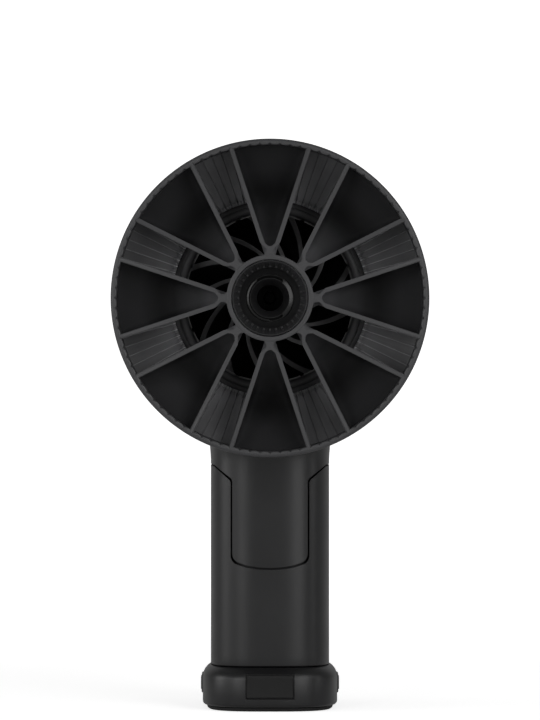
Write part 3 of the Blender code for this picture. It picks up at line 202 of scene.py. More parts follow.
# --- finishes -------------------------------------------------------------------------
@dataclass(frozen=True)
class Finish:
    """A moulded surface: a base colour, slow mottling and a fine spark-eroded grain.

    grain is the size of its texture and depth how deep it is, both in millimetres.  unevenness
    is how far the roughness wanders with the mottling, and grain_unevenness with the grain.
    """

    name: str
    slot: str
    colour: Colour
    roughness: float
    specular: float = 0.5
    metallic: float = 0.0
    grain: float = 0.35
    depth: float = 0.012
    mottle: float = 0.10
    mottle_size: float = 22.0
    unevenness: float = 0.08
    grain_unevenness: float = 0.05

    def build(self) -> bpy.types.Material:
        """Return the material, made the first time it is asked for."""
        found = bpy.data.materials.get(self.name)
        if found:
            return found
        made = bpy.data.materials.new(self.name)
        made.use_nodes = True
        made.diffuse_color = (*self.colour, 1.0)
        shader = made.node_tree.nodes["Principled BSDF"]
        web = Web(made.node_tree)
        place = web.node("ShaderNodeTexCoord").other("Object")
        slow = self.noise(web, place, self.mottle_size, detail=3.0)
        fine = self.noise(web, place, self.grain, detail=2.0)
        shader.inputs["Metallic"].default_value = self.metallic
        shader.inputs["Specular IOR Level"].default_value = self.specular
        self.link(web, self.tint(web, place, slow), shader, "Base Color")
        rough = (slow - 0.5) * (2 * self.unevenness) + (fine - 0.5) * self.grain_unevenness + self.roughness
        self.link(web, rough, shader, "Roughness")
        self.link(web, self.relief(web, place, fine), shader, "Normal")
        return made

    @staticmethod
    def noise(web: Web, place: Wire, size: float, detail: float) -> Wire:
        """Return noise with features of a size in millimetres."""
        return web.node("ShaderNodeTexNoise", None,
                        {"Vector": place, "Scale": 1 / (size * MM), "Detail": detail})

    @staticmethod
    def link(web: Web, value: Wire, shader: bpy.types.Node, name: str) -> None:
        """Feed one input of the shader."""
        web.tree.links.new(value.socket, shader.inputs[name])

    def tint(self, web: Web, place: Wire, slow: Wire) -> Wire:
        """Return the base colour, a little lighter and darker from place to place."""
        light = tuple(channel * (1 + self.mottle) for channel in self.colour)
        dark = tuple(channel * (1 - self.mottle) for channel in self.colour)
        return blend(web, slow, dark, light)

    def relief(self, web: Web, place: Wire, fine: Wire) -> Wire:
        """Return the normal of the grain."""
        return web.node("ShaderNodeBump", None,
                        {"Strength": 1.0, "Distance": self.depth * MM, "Height": fine})


def blend(web: Web, share: Wire, low: Colour | Wire, high: Colour | Wire) -> Wire:
    """Mix two colours.

    Args:
        web: the tree.
        share: 0 for low and 1 for high.
        low: a colour or a colour socket.
        high: the other one.

    Returns:
        The mixed colour.
    """
    ends = [value if isinstance(value, Wire) else (*value, 1.0) for value in (low, high)]
    mixed = web.node("ShaderNodeMix", {"data_type": "RGBA"}, {0: share, 6: ends[0], 7: ends[1]})
    return Wire(web, mixed.socket.node.outputs[2])


@dataclass(frozen=True)
class GradedFinish(Finish):
    """A moulding painted lighter or darker with its depth or its distance from the fan axis: painted light
    and shade.

    by_depth picks its depth.  tones holds pairs: a distance in millimetres and the share of
    the colour there.
    """

    by_depth: bool = False
    tones: tuple[tuple[float, float], ...] = ((0.0, 1.0), (60.0, 1.0))

    def axes(self, web: Web, place: Wire) -> Wire:
        """Return the place from the head's origin, split into its axes."""
        shifted = web.node("ShaderNodeVectorMath", {"operation": "SUBTRACT"},
                           {0: place, 1: tuple(Form.origins[Where.HEAD])})
        return web.node("ShaderNodeSeparateXYZ", None, {0: shifted})

    def reach(self, axes: Wire) -> Wire:
        """Return the distance from the fan axis."""
        return (axes.other("X").power(2) + axes.other("Z").power(2)).power(0.5)

    def tint(self, web: Web, place: Wire, slow: Wire) -> Wire:
        """Return the base colour, graded with painted light and shade."""
        axes = self.axes(web, place)
        along = axes.other("Y") if self.by_depth else self.reach(axes)
        low = self.tones[0][0]
        span = self.tones[-1][0] - low
        peak = max(share for _, share in self.tones)
        stops = [((spot - low) / span, share / peak) for spot, share in self.tones]
        tone = web.node("ShaderNodeValToRGB", {"stops": stops}, {0: (along - low * MM) / (span * MM)})
        return web.node("ShaderNodeVectorMath", {"operation": "SCALE"},
                        {0: self.marks_and_painted_light(web, place, slow), "Scale": tone * peak})

    def marks_and_painted_light(self, web: Web, place: Wire, slow: Wire) -> Wire:
        """Return the colour before it is graded."""
        return super().tint(web, place, slow)


@dataclass(frozen=True)
class RadialFinish(GradedFinish):
    """A fluted moulding with streaks drawn out towards the fan axis, and painted light on its beads and
    flutes.

    The beads are painted lighter at the sides, a painted highlight, and darker at the top and bottom,
    a painted shade; the flutes are painted lighter at the top and bottom, a painted light.
    A mark is streak_width wide at mean_radius, and drawn_out is its width as a share of its length.
    """

    streak: float = 0.10
    streak_width: float = 0.55
    mean_radius: float = 45.0
    drawn_out: float = 0.04
    beads: int = 96
    bead_half: float = 0.22
    # painted highlight: how much lighter a bead is at the sides
    bead_side_highlight: float = 1.6
    # painted shade: how much darker a bead is at the top and bottom
    bead_end_shade: float = 0.7
    # painted light: how much lighter the flutes are at the top and bottom
    upright_flute_light: float = 0.35

    def marks_and_painted_light(self, web: Web, place: Wire, slow: Wire) -> Wire:
        """Return the base colour with streaks that are fine round the axis and long towards it, painted
        highlights and shade on the beads, and painted light in the flutes at the top and bottom.
        """
        axes = self.axes(web, place)
        turned = axes.other("Z").angle_to(axes.other("X"))
        reach = self.reach(axes)
        unrolled = web.node("ShaderNodeCombineXYZ", None,
                            {0: turned * (self.mean_radius * MM), 1: reach * self.drawn_out, 2: 0.0})
        streaks = self.noise(web, unrolled, self.streak_width, detail=2.0)
        light = tuple(channel * (1 + self.streak) for channel in self.colour)
        dark = tuple(channel * (1 - self.streak) for channel in self.colour)
        colour = blend(web, (streaks - 0.5) * 2 + slow * 0.5 + 0.25, dark, light)
        away = web.node("ShaderNodeMath", {"operation": "PINGPONG"},
                        {0: turned * (self.beads / (2 * math.pi)), 1: 0.5})
        across = away * reach * (2 * math.pi / self.beads)
        bead = web.node("ShaderNodeMapRange", {"interpolation_type": "SMOOTHSTEP"},
                        {"Value": across, "From Min": self.bead_half * 0.5 * MM,
                         "From Max": self.bead_half * MM, "To Min": 1.0, "To Max": 0.0})
        # Painted light and shade: beads lighter at the sides and darker at the top and bottom, flutes lighter
        # at the top and bottom.
        sideways = (axes.other("X") / reach).power(2)
        lift = bead * (sideways * (self.bead_side_highlight + self.bead_end_shade) - self.bead_end_shade) + 1.0
        flutes = (1.0 - sideways) * self.upright_flute_light + 1.0
        return web.node("ShaderNodeVectorMath", {"operation": "SCALE"}, {0: colour, "Scale": lift * flutes})


@dataclass(frozen=True)
class BrushedMetal(Finish):
    """Metal with fine lines along one direction."""

    along: Point = (1.0, 0.04, 1.0)

    def relief(self, web: Web, place: Wire, fine: Wire) -> Wire:
        """Return the normal of the brushed lines."""
        drawn = web.node("ShaderNodeVectorMath", {"operation": "MULTIPLY"}, {0: place, 1: self.along})
        lines = self.noise(web, drawn, self.grain, detail=2.0)
        return super().relief(web, place, lines)


@dataclass(frozen=True)
class CircuitBoard(Finish):
    """Green lacquer over a grid of copper tracks."""

    pitch: float = 2.5
    track: Colour = (0.05, 0.26, 0.10)

    def tint(self, web: Web, place: Wire, slow: Wire) -> Wire:
        """Return the lacquer's colour, lighter over the tracks."""
        cells = web.node("ShaderNodeTexBrick", {"offset": 0.5, "squash": 1.0},
                         {"Vector": place, "Scale": 1 / (self.pitch * MM), "Mortar Size": 0.10,
                          "Color1": (0, 0, 0, 1), "Color2": (0, 0, 0, 1), "Mortar": (1, 1, 1, 1)})
        return blend(web, cells, self.colour, self.track)


@dataclass(frozen=True)
class WoundCopper(Finish):
    """Enamelled wire wound side by side."""

    wire: float = 0.5

    def relief(self, web: Web, place: Wire, fine: Wire) -> Wire:
        """Return the normal of the wires."""
        turns = web.node("ShaderNodeTexWave", {"bands_direction": "Y", "wave_profile": "SIN"},
                         {"Vector": place, "Scale": WAVE_PERIOD / (self.wire * MM), "Distortion": 0.6})
        return web.node("ShaderNodeBump", None, {"Strength": 1.0, "Distance": 0.1 * MM, "Height": turns})


# --- drawing --------------------------------------------------------------------------
def arc(centre: tuple[float, float], radius: float, start: float, end: float, steps: int) -> Outline:
    """Return points on an arc, from start to end degrees."""
    points = []
    for step in range(steps + 1):
        angle = math.radians(start + (end - start) * step / steps)
        points.append((centre[0] + radius * math.cos(angle), centre[1] + radius * math.sin(angle)))
    return points


def fillet(before: Vector, corner: Vector, after: Vector, radius: float, steps: int) -> Outline:
    """Round one corner.

    Args:
        before: the point before it.
        corner: the corner.
        after: the point after it.
        radius: the fillet's radius, cut down where the sides are too short for it.
        steps: its number of faces.

    Returns:
        The points that take the corner's place.
    """
    back = before - corner
    ahead = after - corner
    half = back.angle(ahead) / 2
    if radius <= 0 or half > math.radians(88):
        return [tuple(corner)]
    room = 0.49 * min(back.length, ahead.length)
    reach = min(radius / math.tan(half), room)
    radius = reach * math.tan(half)
    centre = corner + (back.normalized() + ahead.normalized()).normalized() * radius / math.sin(half)
    first = corner + back.normalized() * reach - centre
    sweep = math.pi - 2 * half
    if first.cross(corner - centre) < 0:
        sweep = -sweep
    return [tuple(centre + Matrix.Rotation(sweep * step / steps, 2) @ first) for step in range(steps + 1)]


def eased(corners: Sequence[tuple[float, float, float]], steps: int = 4) -> Outline:
    """Round the corners of a closed outline.

    Args:
        corners: (first, second, radius) for each corner.
        steps: the number of faces in each fillet.

    Returns:
        The outline's points.
    """
    path: Outline = []
    count = len(corners)
    for k, (a, b, radius) in enumerate(corners):
        before = Vector(corners[k - 1][:2])
        after = Vector(corners[(k + 1) % count][:2])
        path += fillet(before, Vector((a, b)), after, radius, steps)
    return path


def open_eased(corners: Sequence[tuple[float, float, float]], steps: int = 6) -> Outline:
    """Round the inner corners of an open run of points, and keep its two ends."""
    path: Outline = [tuple(corners[0][:2])]
    for before, (a, b, radius), after in zip(corners, corners[1:], corners[2:]):
        path += fillet(Vector(before[:2]), Vector((a, b)), Vector(after[:2]), radius, steps)
    path.append(tuple(corners[-1][:2]))
    return path


def polar(radius: float, angle: float, y: float) -> Point:
    """Return a point round the fan axis, at an angle from +X towards +Z."""
    return (radius * math.cos(angle), y, radius * math.sin(angle))


def around(half: float, middle: float = 0.0) -> tuple[float, float]:
    """Return the range that reaches half to each side of a middle."""
    return (middle - half, middle + half)


def between(low: float, high: float, count: int) -> list[float]:
    """Return count + 1 evenly spaced values from low to high."""
    return [low + (high - low) * k / count for k in range(count + 1)]


def superellipse(half_x: float, half_y: float, exponent: float, count: int) -> Outline:
    """Return the points of a squarish oval, closer together at its corners."""
    points = []
    for k in range(count):
        angle = 2 * math.pi * (k + 0.5) / count
        x = math.copysign(abs(math.cos(angle)) ** (2 / exponent), math.cos(angle))
        y = math.copysign(abs(math.sin(angle)) ** (2 / exponent), math.sin(angle))
        points.append((half_x * x, half_y * y))
    return points


class Form:
    """A mesh that is being drawn, in millimetres from the head's or the grip's origin."""

    origins: dict[Where, Vector] = {}

    def __init__(self) -> None:
        """Start with an empty mesh."""
        self.bm = bmesh.new()

    def skin(self, rings: Sequence[Sequence[Point]], closed: bool = True, loop: bool = False,
             caps: bool = False) -> "Form":
        """Join rings of points, in order.

        Args:
            rings: rows of equal length; a row of one point is a pole.
            closed: whether each row's end joins its start.
            loop: whether the last row joins the first.
            caps: whether a face closes each end.

        Returns:
            This form.
        """
        rows = [[self.bm.verts.new(point) for point in ring] for ring in rings]
        spans = list(zip(rows, rows[1:]))
        if loop:
            spans.append((rows[-1], rows[0]))
        for low, high in spans:
            width = max(len(low), len(high))
            for k in range(width if closed else width - 1):
                after = (k + 1) % width
                corners = [low[k % len(low)], low[after % len(low)],
                           high[after % len(high)], high[k % len(high)]]
                distinct = list(dict.fromkeys(corners))
                if len(distinct) > 2:
                    self.bm.faces.new(distinct)
        if caps:
            self.bm.faces.new(rows[0])
            self.bm.faces.new(rows[-1])
        return self

    def bevel(self, width: float, steps: int = 3, above: float = 30.0) -> "Form":
        """Round every edge that is sharper than an angle in degrees."""
        self.bm.normal_update()
        edges = [edge for edge in self.bm.edges
                 if len(edge.link_faces) == 2 and edge.calc_face_angle() > math.radians(above)]
        bmesh.ops.bevel(self.bm, geom=edges, offset=width, segments=steps, affect="EDGES", profile=0.5)
        return self

    def make(self, name: str, where: Where = Where.HEAD) -> bpy.types.Object:
        """Turn the form into an object in metres, placed in its mesh.

        Args:
            name: the object's name.
            where: the origin that it was drawn from.

        Returns:
            The new object.
        """
        bmesh.ops.remove_doubles(self.bm, verts=self.bm.verts, dist=1e-5)
        bmesh.ops.recalc_face_normals(self.bm, faces=self.bm.faces)
        self.bm.transform(Matrix.Translation(Form.origins[where]) @ Matrix.Scale(MM, 4))
        mesh = bpy.data.meshes.new(name)
        self.bm.to_mesh(mesh)
        self.bm.free()
        made = bpy.data.objects.new(name, mesh)
        bpy.context.collection.objects.link(made)
        return made


def lathe(outline: Sequence[tuple[float, float]], segments: int = SEGMENTS, loop: bool = True) -> Form:
    """Turn a (radius, y) outline round the fan axis.

    Args:
        outline: its points; a radius of 0 makes a pole.
        segments: the number of faces round it.
        loop: whether the outline closes into a ring.

    Returns:
        The turned form.
    """
    rings = []
    for radius, y in outline:
        count = segments if radius > 1e-6 else 1
        rings.append([polar(radius, 2 * math.pi * k / segments, y) for k in range(count)])
    return Form().skin(rings, loop=loop)


def box(x: Range, y: Range, z: Range, ease: float = 0.0) -> Form:
    """Draw a block from its (low, high) pairs, its edges rounded by ease."""
    form = Form()
    size = Vector([high - low for low, high in (x, y, z)])
    centre = Vector([high + low for low, high in (x, y, z)]) / 2
    place = Matrix.Translation(centre) @ Matrix.Diagonal(size).to_4x4()
    bmesh.ops.create_cube(form.bm, size=1.0, matrix=place)
    return form.bevel(ease) if ease else form


def block(name: str, x: Range, y: Range, z: Range, ease: float = 0.0) -> bpy.types.Object:
    """Make a block from the grip's origin."""
    return box(x, y, z, ease).make(name, Where.GRIP)


def prism(outline: Outline, ends: Range, along_x: bool = False) -> Form:
    """Extrude an (x, z) outline along Y between two ends, or a (y, z) outline along X."""
    rings = [[(end, a, b) if along_x else (a, end, b) for a, b in outline] for end in ends]
    return Form().skin(rings, caps=True)


def ease_edges(form: Form, edges: list[bmesh.types.BMEdge], width: float, steps: int = 2) -> Form:
    """Round some edges of a form, as far as their neighbours leave room."""
    bmesh.ops.bevel(form.bm, geom=edges, offset=width, segments=steps, affect="EDGES", clamp_overlap=True)
    return form


# --- workshop -------------------------------------------------------------------------
def bake(target: bpy.types.Object) -> bpy.types.Object:
    """Turn an object's modifiers into its mesh, and remove them."""
    bpy.context.view_layer.update()
    depsgraph = bpy.context.evaluated_depsgraph_get()
    made = bpy.data.meshes.new_from_object(target.evaluated_get(depsgraph))
    target.modifiers.clear()
    old = target.data
    target.data = made
    bpy.data.meshes.remove(old)
    made.name = target.name
    return target


def carve(target: bpy.types.Object, others: Iterable[tuple[Join, bpy.types.Object]]) -> bpy.types.Object:
    """Join shapes to an object or cut them from it, in order, and remove them.

    Args:
        target: the object that is kept.
        others: what to do, and the closed object to do it with.

    Returns:
        The target, with a plain mesh.
    """
    used = []
    for join, other in others:
        step = target.modifiers.new(other.name, "BOOLEAN")
        step.operation = join.value
        step.solver = "EXACT"
        step.object = other
        used.append(other)
    bake(target)
    for other in used:
        bpy.data.objects.remove(other)
    return target


class Repeater:
    """A Geometry Nodes tree that sets copies of a mesh round an axis or along a line."""

    INPUTS = (("Geometry", "Geometry"), ("Count", "Int"), ("Centre", "Vector"), ("Turn", "Float"),
              ("Phase", "Float"), ("Step", "Vector"), ("Weld", "Float"), ("Material", "Material"))

    def __init__(self) -> None:
        """Write the tree."""
        self.tree = bpy.data.node_groups.new("repeat_a_mesh", "GeometryNodeTree")
        for name, kind in self.INPUTS:
            self.tree.interface.new_socket(name, in_out="INPUT", socket_type=f"NodeSocket{kind}")
        self.tree.interface.new_socket("Geometry", in_out="OUTPUT", socket_type="NodeSocketGeometry")
        web = Web(self.tree)
        given = web.node("NodeGroupInput")
        centre = given.other("Centre")
        back = web.node("ShaderNodeVectorMath", {"operation": "SCALE"}, {0: centre, "Scale": -1.0})
        unit = web.node("GeometryNodeTransform", None, {"Geometry": given, "Translation": back})
        index = web.node("GeometryNodeInputIndex")
        place = web.node("ShaderNodeVectorMath", {"operation": "MULTIPLY_ADD"},
                         {0: given.other("Step"), 1: index, 2: centre})
        spots = web.node("GeometryNodePoints", None, {"Count": given.other("Count"), "Position": place})
        angle = index * given.other("Turn") + given.other("Phase")
        turned = web.node("FunctionNodeAxisAngleToRotation", None, {"Axis": (0.0, -1.0, 0.0), "Angle": angle})
        copies = web.node("GeometryNodeInstanceOnPoints", None,
                          {"Points": spots, "Instance": unit, "Rotation": turned})
        real = web.node("GeometryNodeRealizeInstances", None, {0: copies})
        welded = web.node("GeometryNodeMergeByDistance", None,
                          {"Geometry": real, "Distance": given.other("Weld")})
        dressed = web.node("GeometryNodeSetMaterial", None,
                           {"Geometry": welded, "Material": given.other("Material")})
        web.node("NodeGroupOutput", None, {0: dressed})

    def apply(self, unit: bpy.types.Object, material: bpy.types.Material,
              **values: object) -> bpy.types.Object:
        """Repeat an object's mesh.

        Args:
            unit: the object that holds one copy; its mesh is replaced.
            material: what the copies are made of.
            values: the tree's other inputs, by name in lower case.

        Returns:
            The object, with all the copies in its mesh.
        """
        modifier = unit.modifiers.new("repeat", "NODES")
        modifier.node_group = self.tree
        names = {item.name: item.identifier for item in self.tree.interface.items_tree
                 if item.in_out == "INPUT"}
        settings = {"centre": tuple(Form.origins[Where.HEAD]), "phase": 0.0, "weld": 1e-6,
                    "step": (0.0, 0.0, 0.0), "turn": 0.0, "material": material, **values}
        for name, value in settings.items():
            modifier[names[name.capitalize()]] = value
        return bake(unit)


@cache
def repeater() -> Repeater:
    """Return the one repeater, made the first time it is asked for."""
    return Repeater()


def round_the_axis(unit: bpy.types.Object, count: int, finish: Finish,
                   phase: float = 0.0) -> bpy.types.Object:
    """Set count copies of an object round the fan axis."""
    return repeater().apply(unit, finish.build(), count=count, turn=2 * math.pi / count, phase=phase)


def dress(piece: bpy.types.Object, finish: Finish, body: str, *nodes: str) -> bpy.types.Object:
    """Finish a piece: outward faces, smooth shading, material, body and what it stands for.

    Args:
        piece: an object with a plain mesh.
        finish: what it is made of.
        body: the body that it moves with.
        nodes: the frame's nodes that it takes the place of.

    Returns:
        The same object.
    """
    form = bmesh.new()
    form.from_mesh(piece.data)
    bmesh.ops.remove_doubles(form, verts=form.verts, dist=WELD)
    bmesh.ops.recalc_face_normals(form, faces=form.faces)
    form.to_mesh(piece.data)
    form.free()
    piece.data.materials.clear()
    piece.data.materials.append(finish.build())
    piece.data.shade_smooth()
    piece.data.set_sharp_from_angle(angle=SHARP)
    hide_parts(*nodes)
    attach(piece, body)
    log.info("%s: %d faces, rides on %s", piece.name, len(piece.data.polygons), body)
    return piece


# --- what the blower is finished in ----------------------------------------------------
GUARD = Finish("guard_satin_plastic", "guard_plastic", (0.045, 0.045, 0.047), 0.46, specular=0.4,
               grain=0.30, depth=0.010)
# Painted light and shade: up to 6.5 times lighter on the tips by the hub, darkest in the deep band at 35 to
# 40 mm.
SCOOP = GradedFinish("scoop_matt_plastic", "gloss_black", (0.019, 0.019, 0.020), 0.60, specular=0.12,
                     grain=0.4, depth=0.004, mottle=0.05,
                     tones=((16, 6.5), (22, 5.4), (26, 3.0), (32, 1.5), (35, 0.72), (40, 0.62), (44, 0.95),
                            (47, 1.2), (56, 1.1)))
TRIM = Finish("trim_gloss_plastic", "gloss_black", (0.006, 0.006, 0.006), 0.22, specular=0.32,
              grain=0.5, depth=0.0005)
# Painted light: lighter towards the throat, where the deep channels would be in shade, and lightest on its
# edge from 34 to 36.3 mm.
BELL = RadialFinish("bell_fluted_plastic", "bell_plastic", (0.085, 0.085, 0.088), 0.42, specular=0.40,
                    grain=0.25, depth=0.006,
                    tones=((34, 3.2), (36.3, 3.2), (36.8, 2.1), (38, 2.1), (44, 1.25), (50, 0.80),
                           (56, 0.75)))
SHELL = Finish("shell_satin_plastic", "shell_plastic", (0.007, 0.007, 0.0075), 0.36, specular=0.45,
               grain=0.22, depth=0.006)
GRIP = Finish("grip_soft_touch", "soft_grip", (0.007, 0.007, 0.0075), 0.38, specular=0.45,
              grain=0.18, depth=0.008)
RUBBER = Finish("matt_rubber", "rubber", (0.014, 0.014, 0.014), 0.75, specular=0.3, grain=0.4, depth=0.02)
NYLON = Finish("black_nylon", "nylon", (0.020, 0.020, 0.021), 0.5, specular=0.35, grain=0.3)
# Painted shade: darker than the other nylon, so that the case seen through the seams reads dark.
CASE = Finish("battery_case_nylon", "nylon", (0.006, 0.006, 0.0063), 0.5, specular=0.25, grain=0.3)
# Painted shade in the recessed band inside the teeth; lighter towards the hole, a painted light against the
# shade of the bore.
CUP = GradedFinish("cup_nylon", "nylon", (0.024, 0.024, 0.025), 0.5, specular=0.3, grain=0.3,
                   tones=((4, 0.6), (7, 0.5), (8.8, 0.32), (10.7, 0.30), (11.1, 0.95), (14, 0.95)))
# Painted highlight: a light band on the blades' front edges, 33.4 to 34.8 mm deep; elsewhere painted near
# black, a painted shade inside the duct.
FAN = GradedFinish("fan_nylon", "fan_black", (0.24, 0.24, 0.245), 0.5, specular=0.15, grain=0.3,
                   by_depth=True,
                   tones=((30, 0.02), (33.1, 0.02), (33.4, 1.0), (34.8, 1.0), (35.3, 0.02), (50, 0.01)))
# Painted light on the lip, to 27 mm deep; past 28.6 mm painted near black, a painted shade down the duct.
DUCT = GradedFinish("duct_nylon", "nylon", (0.030, 0.030, 0.031), 0.45, specular=0.20, grain=0.3,
                    by_depth=True, tones=((20, 2.4), (27.0, 2.4), (28.6, 0.10), (95, 0.05)))
STEEL = BrushedMetal("drawn_steel", "steel", (0.55, 0.55, 0.56), 0.3, metallic=1.0, grain=0.25, depth=0.006)
# Painted shade: near-black steel, so that the nut and shaft in the hub's hole read black.
HOLE_SHADE_STEEL = BrushedMetal("steel_painted_shade", "steel", (0.002, 0.002, 0.002), 0.6, specular=0.05, grain=0.25,
                         depth=0.006)
IRON = BrushedMetal("stacked_iron", "magnet", (0.20, 0.20, 0.21), 0.4, metallic=0.8, grain=0.5, depth=0.03,
                    along=(0.1, 1.0, 0.1))
COPPER = WoundCopper("wound_copper", "copper", (0.60, 0.27, 0.12), 0.35, metallic=1.0)
BOARD = CircuitBoard("circuit_board", "board_green", (0.02, 0.12, 0.05), 0.4, grain=0.4, depth=0.01)
WRAP = Finish("cell_shrink_wrap", "cell_wrap", (0.05, 0.18, 0.40), 0.35, grain=1.2, depth=0.02)


# --- the intake ------------------------------------------------------------------------
@dataclass
class IntakeGuard:
    """The rim, eight pairs of ribs and the hub ring, in one moulding."""

    rim_radius: float = 57.5
    rim_wall: float = 2.25
    rim_depth: float = 8.0
    notches: int = 96
    notch_depth: float = 0.55
    rib_width: float = 1.6
    rib_depth: float = 7.0
    rib_recess: float = 0.15
    rib_ease: float = 0.3
    rib_angle: float = math.radians(18.3)
    rib_offset: float = 3.65
    pairs: int = 8
    pocket_start: float = 18.4
    stem_width: float = 2.3
    stem_radius: float = 16.8
    hub_radius: float = 15.7
    hub_bore: float = 13.95

    def rim_unit(self) -> Form:
        """Return one notch's share of the rim, open at its sides."""
        inner = self.rim_radius - self.rim_wall
        outer = self.rim_radius
        profile = [(inner, self.rim_depth, 0.0), (inner, 2.4, 0.0), (inner, 1.3, 0.5), (inner, 0.6, 1.0),
                   (inner + 0.15, 0.2, 1.0), (inner + 0.5, 0.0, 0.9), (outer - 1.1, 0.0, 0.0),
                   (outer - 0.62, 0.14, 0.0), (outer - 0.28, 0.42, 0.0), (outer - 0.07, 0.9, 0.0),
                   (outer, 1.5, 0.0), (outer, self.rim_depth, 0.0)]
        samples = ((-1.0, 0.0), (-0.6, 0.07), (-0.32, 0.26), (-0.14, 0.6), (0.0, 1.0),
                   (0.14, 0.6), (0.32, 0.26), (0.6, 0.07), (1.0, 0.0))
        half = math.pi / self.notches
        rings = [[polar(radius + self.notch_depth * bite * share, s * half, y) for s, bite in samples]
                 for radius, y, share in profile]
        return Form().skin(rings, closed=False, loop=True)

    def rib_point(self, distance: float, offset: float) -> tuple[float, float]:
        """Return a point beside a rib's centre line, from its pair's centre line."""
        across = offset - self.rib_offset
        cos, sin = math.cos(self.rib_angle), math.sin(self.rib_angle)
        return (cos * distance - sin * across, sin * distance + cos * across)

    def rib_outline(self) -> Outline:
        """Return two ribs that meet in a rounded V, on a waisted stem."""
        half = self.rib_width / 2
        reach = self.rim_radius - self.rim_wall / 2
        apex = (self.rib_offset + half) / math.sin(self.rib_angle)
        centre = (self.pocket_start - apex * math.sin(self.rib_angle)) / (1 - math.sin(self.rib_angle))
        waist = self.stem_width / 2
        hip = (self.stem_radius + waist, waist * 1.4)
        side = open_eased([(*self.rib_point(reach, half), 0.0),
                           (*self.rib_point(self.pocket_start + self.rib_width, half), 2.0),
                           (*hip, 0.6), (self.stem_radius, waist, 1.0),
                           (self.hub_radius + waist / 2, waist * 1.4, 0.6),
                           (self.hub_radius - waist, waist * 2.6, 0.0)])
        degrees = math.degrees(self.rib_angle)
        tip = arc((centre, 0.0), centre - self.pocket_start, 90 + degrees, 270 - degrees, 12)
        far = self.rib_point(reach, -half)
        mirrored = [(a, -b) for a, b in reversed(side)]
        return side + mirrored + [(far[0], -far[1])] + tip[::-1] + [far]

    def rib_pair(self) -> Form:
        """Return one pair of ribs with eased front edges."""
        form = prism(self.rib_outline(), (self.rib_recess, self.rib_depth))
        front = [edge for edge in form.bm.edges
                 if all(vert.co.y < self.rib_recess + 1e-4 for vert in edge.verts)]
        ease_edges(form, front, self.rib_ease)
        bmesh.ops.triangulate(form.bm, faces=form.bm.faces)
        return form

    def build(self) -> None:
        """Make the moulding."""
        rim = round_the_axis(self.rim_unit().make("guard_moulding"), self.notches, GUARD)
        ribs = round_the_axis(self.rib_pair().make("rib_pairs"), self.pairs, GUARD)
        hub = lathe(eased([(self.hub_bore, 0.0, 0.25), (self.hub_radius, 0.0, 0.35),
                           (self.hub_radius, self.rib_depth + self.rib_recess, 0.0),
                           (self.hub_bore, self.rib_depth + self.rib_recess, 0.0)]))
        carve(rim, [(Join.ADD, ribs), (Join.ADD, hub.make("hub_ring"))])
        dress(rim, GUARD, "body", "intake_guard")


@dataclass
class IntakeScoops:
    """Eight closed scoops behind the rib pairs, on a sleeve round the hub."""

    guard: IntakeGuard
    wall: float = 1.2
    gap: float = 0.3
    deepest_radius: float = 36.0
    depth: float = 19.3
    rim_floor: float = 8.2
    tip_floor: float = 8.4
    mouth_radius: float = 55.2
    sleeve_end: float = 17.0
    corner: float = 3.0
    root: float = 0.6
    rim_gap: float = 0.05
    rows: int = 40
    columns: int = 16

    def floor(self, radius: float) -> float:
        """Return how deep the scooped floor is at a radius."""
        if radius >= self.deepest_radius:
            share = (radius - self.deepest_radius) / (self.mouth_radius - self.deepest_radius)
            return self.depth - (self.depth - self.rim_floor) * share ** 1.3
        share = min(1.0, (self.deepest_radius - radius) / (self.deepest_radius - self.guard.pocket_start))
        return self.tip_floor + (self.depth - self.tip_floor) * math.sqrt(1 - share ** 2)

    def row(self, radius: float, offset: float, sink: float) -> list[Point]:
        """Return one line across a scoop: a wall, a rounded corner, the floor and back up."""
        top = self.guard.rib_depth + self.gap
        half = self.guard.rib_angle - math.asin((self.guard.rib_offset + offset) / radius)
        floor = self.floor(radius) + sink
        width = half * radius
        ease = min(self.corner, 0.8 * width, max(0.05, floor - top - 0.05))
        side = [(-width, top)] + arc((-width + ease, floor - ease), ease, 180, 90, 6)
        flat = [(share * (width - ease), floor) for share in between(-1, 1, self.columns)[1:-1]]
        line = side + flat + [(-across, y) for across, y in reversed(side)]
        return [polar(radius, across / radius, y) for across, y in line]

    def unit(self) -> Form:
        """Return one scoop as a closed shell."""
        inner = self.guard.hub_radius - self.root
        outer = self.guard.rim_radius - self.guard.rim_wall - self.rim_gap
        radii = [inner] + [self.guard.pocket_start + (outer - self.guard.pocket_start) * share ** 1.5
                           for share in between(0, 1, self.rows)]
        front = [self.row(radius, self.wall / 2, 0.0) for radius in radii]
        back = [self.row(radius, -self.wall / 2, self.wall) for radius in radii]
        form = Form().skin(front, closed=False).skin(back, closed=False)
        rim_of = [[grid[0], grid[-1], [row[0] for row in grid], [row[-1] for row in grid]]
                  for grid in (front, back)]
        for near, far in zip(*rim_of):
            form.skin([near, far], closed=False)
        return form

    def build(self) -> None:
        """Make the scoops on their sleeve."""
        start = self.guard.rib_depth + self.guard.rib_recess + self.gap
        sleeve = lathe([(self.guard.hub_bore, start), (self.guard.hub_radius, start),
                        (self.guard.hub_radius, self.sleeve_end), (self.guard.hub_bore, self.sleeve_end)])
        scoops = round_the_axis(self.unit().make("scoops"), self.guard.pairs, SCOOP)
        moulding = sleeve.make("scoop_moulding")
        carve(moulding, [(Join.ADD, scoops)])
        pieces = [f"intake_scoop_{k + 1}" for k in range(self.guard.pairs)]
        dress(moulding, SCOOP, "body", "baffle_sleeve", *pieces)


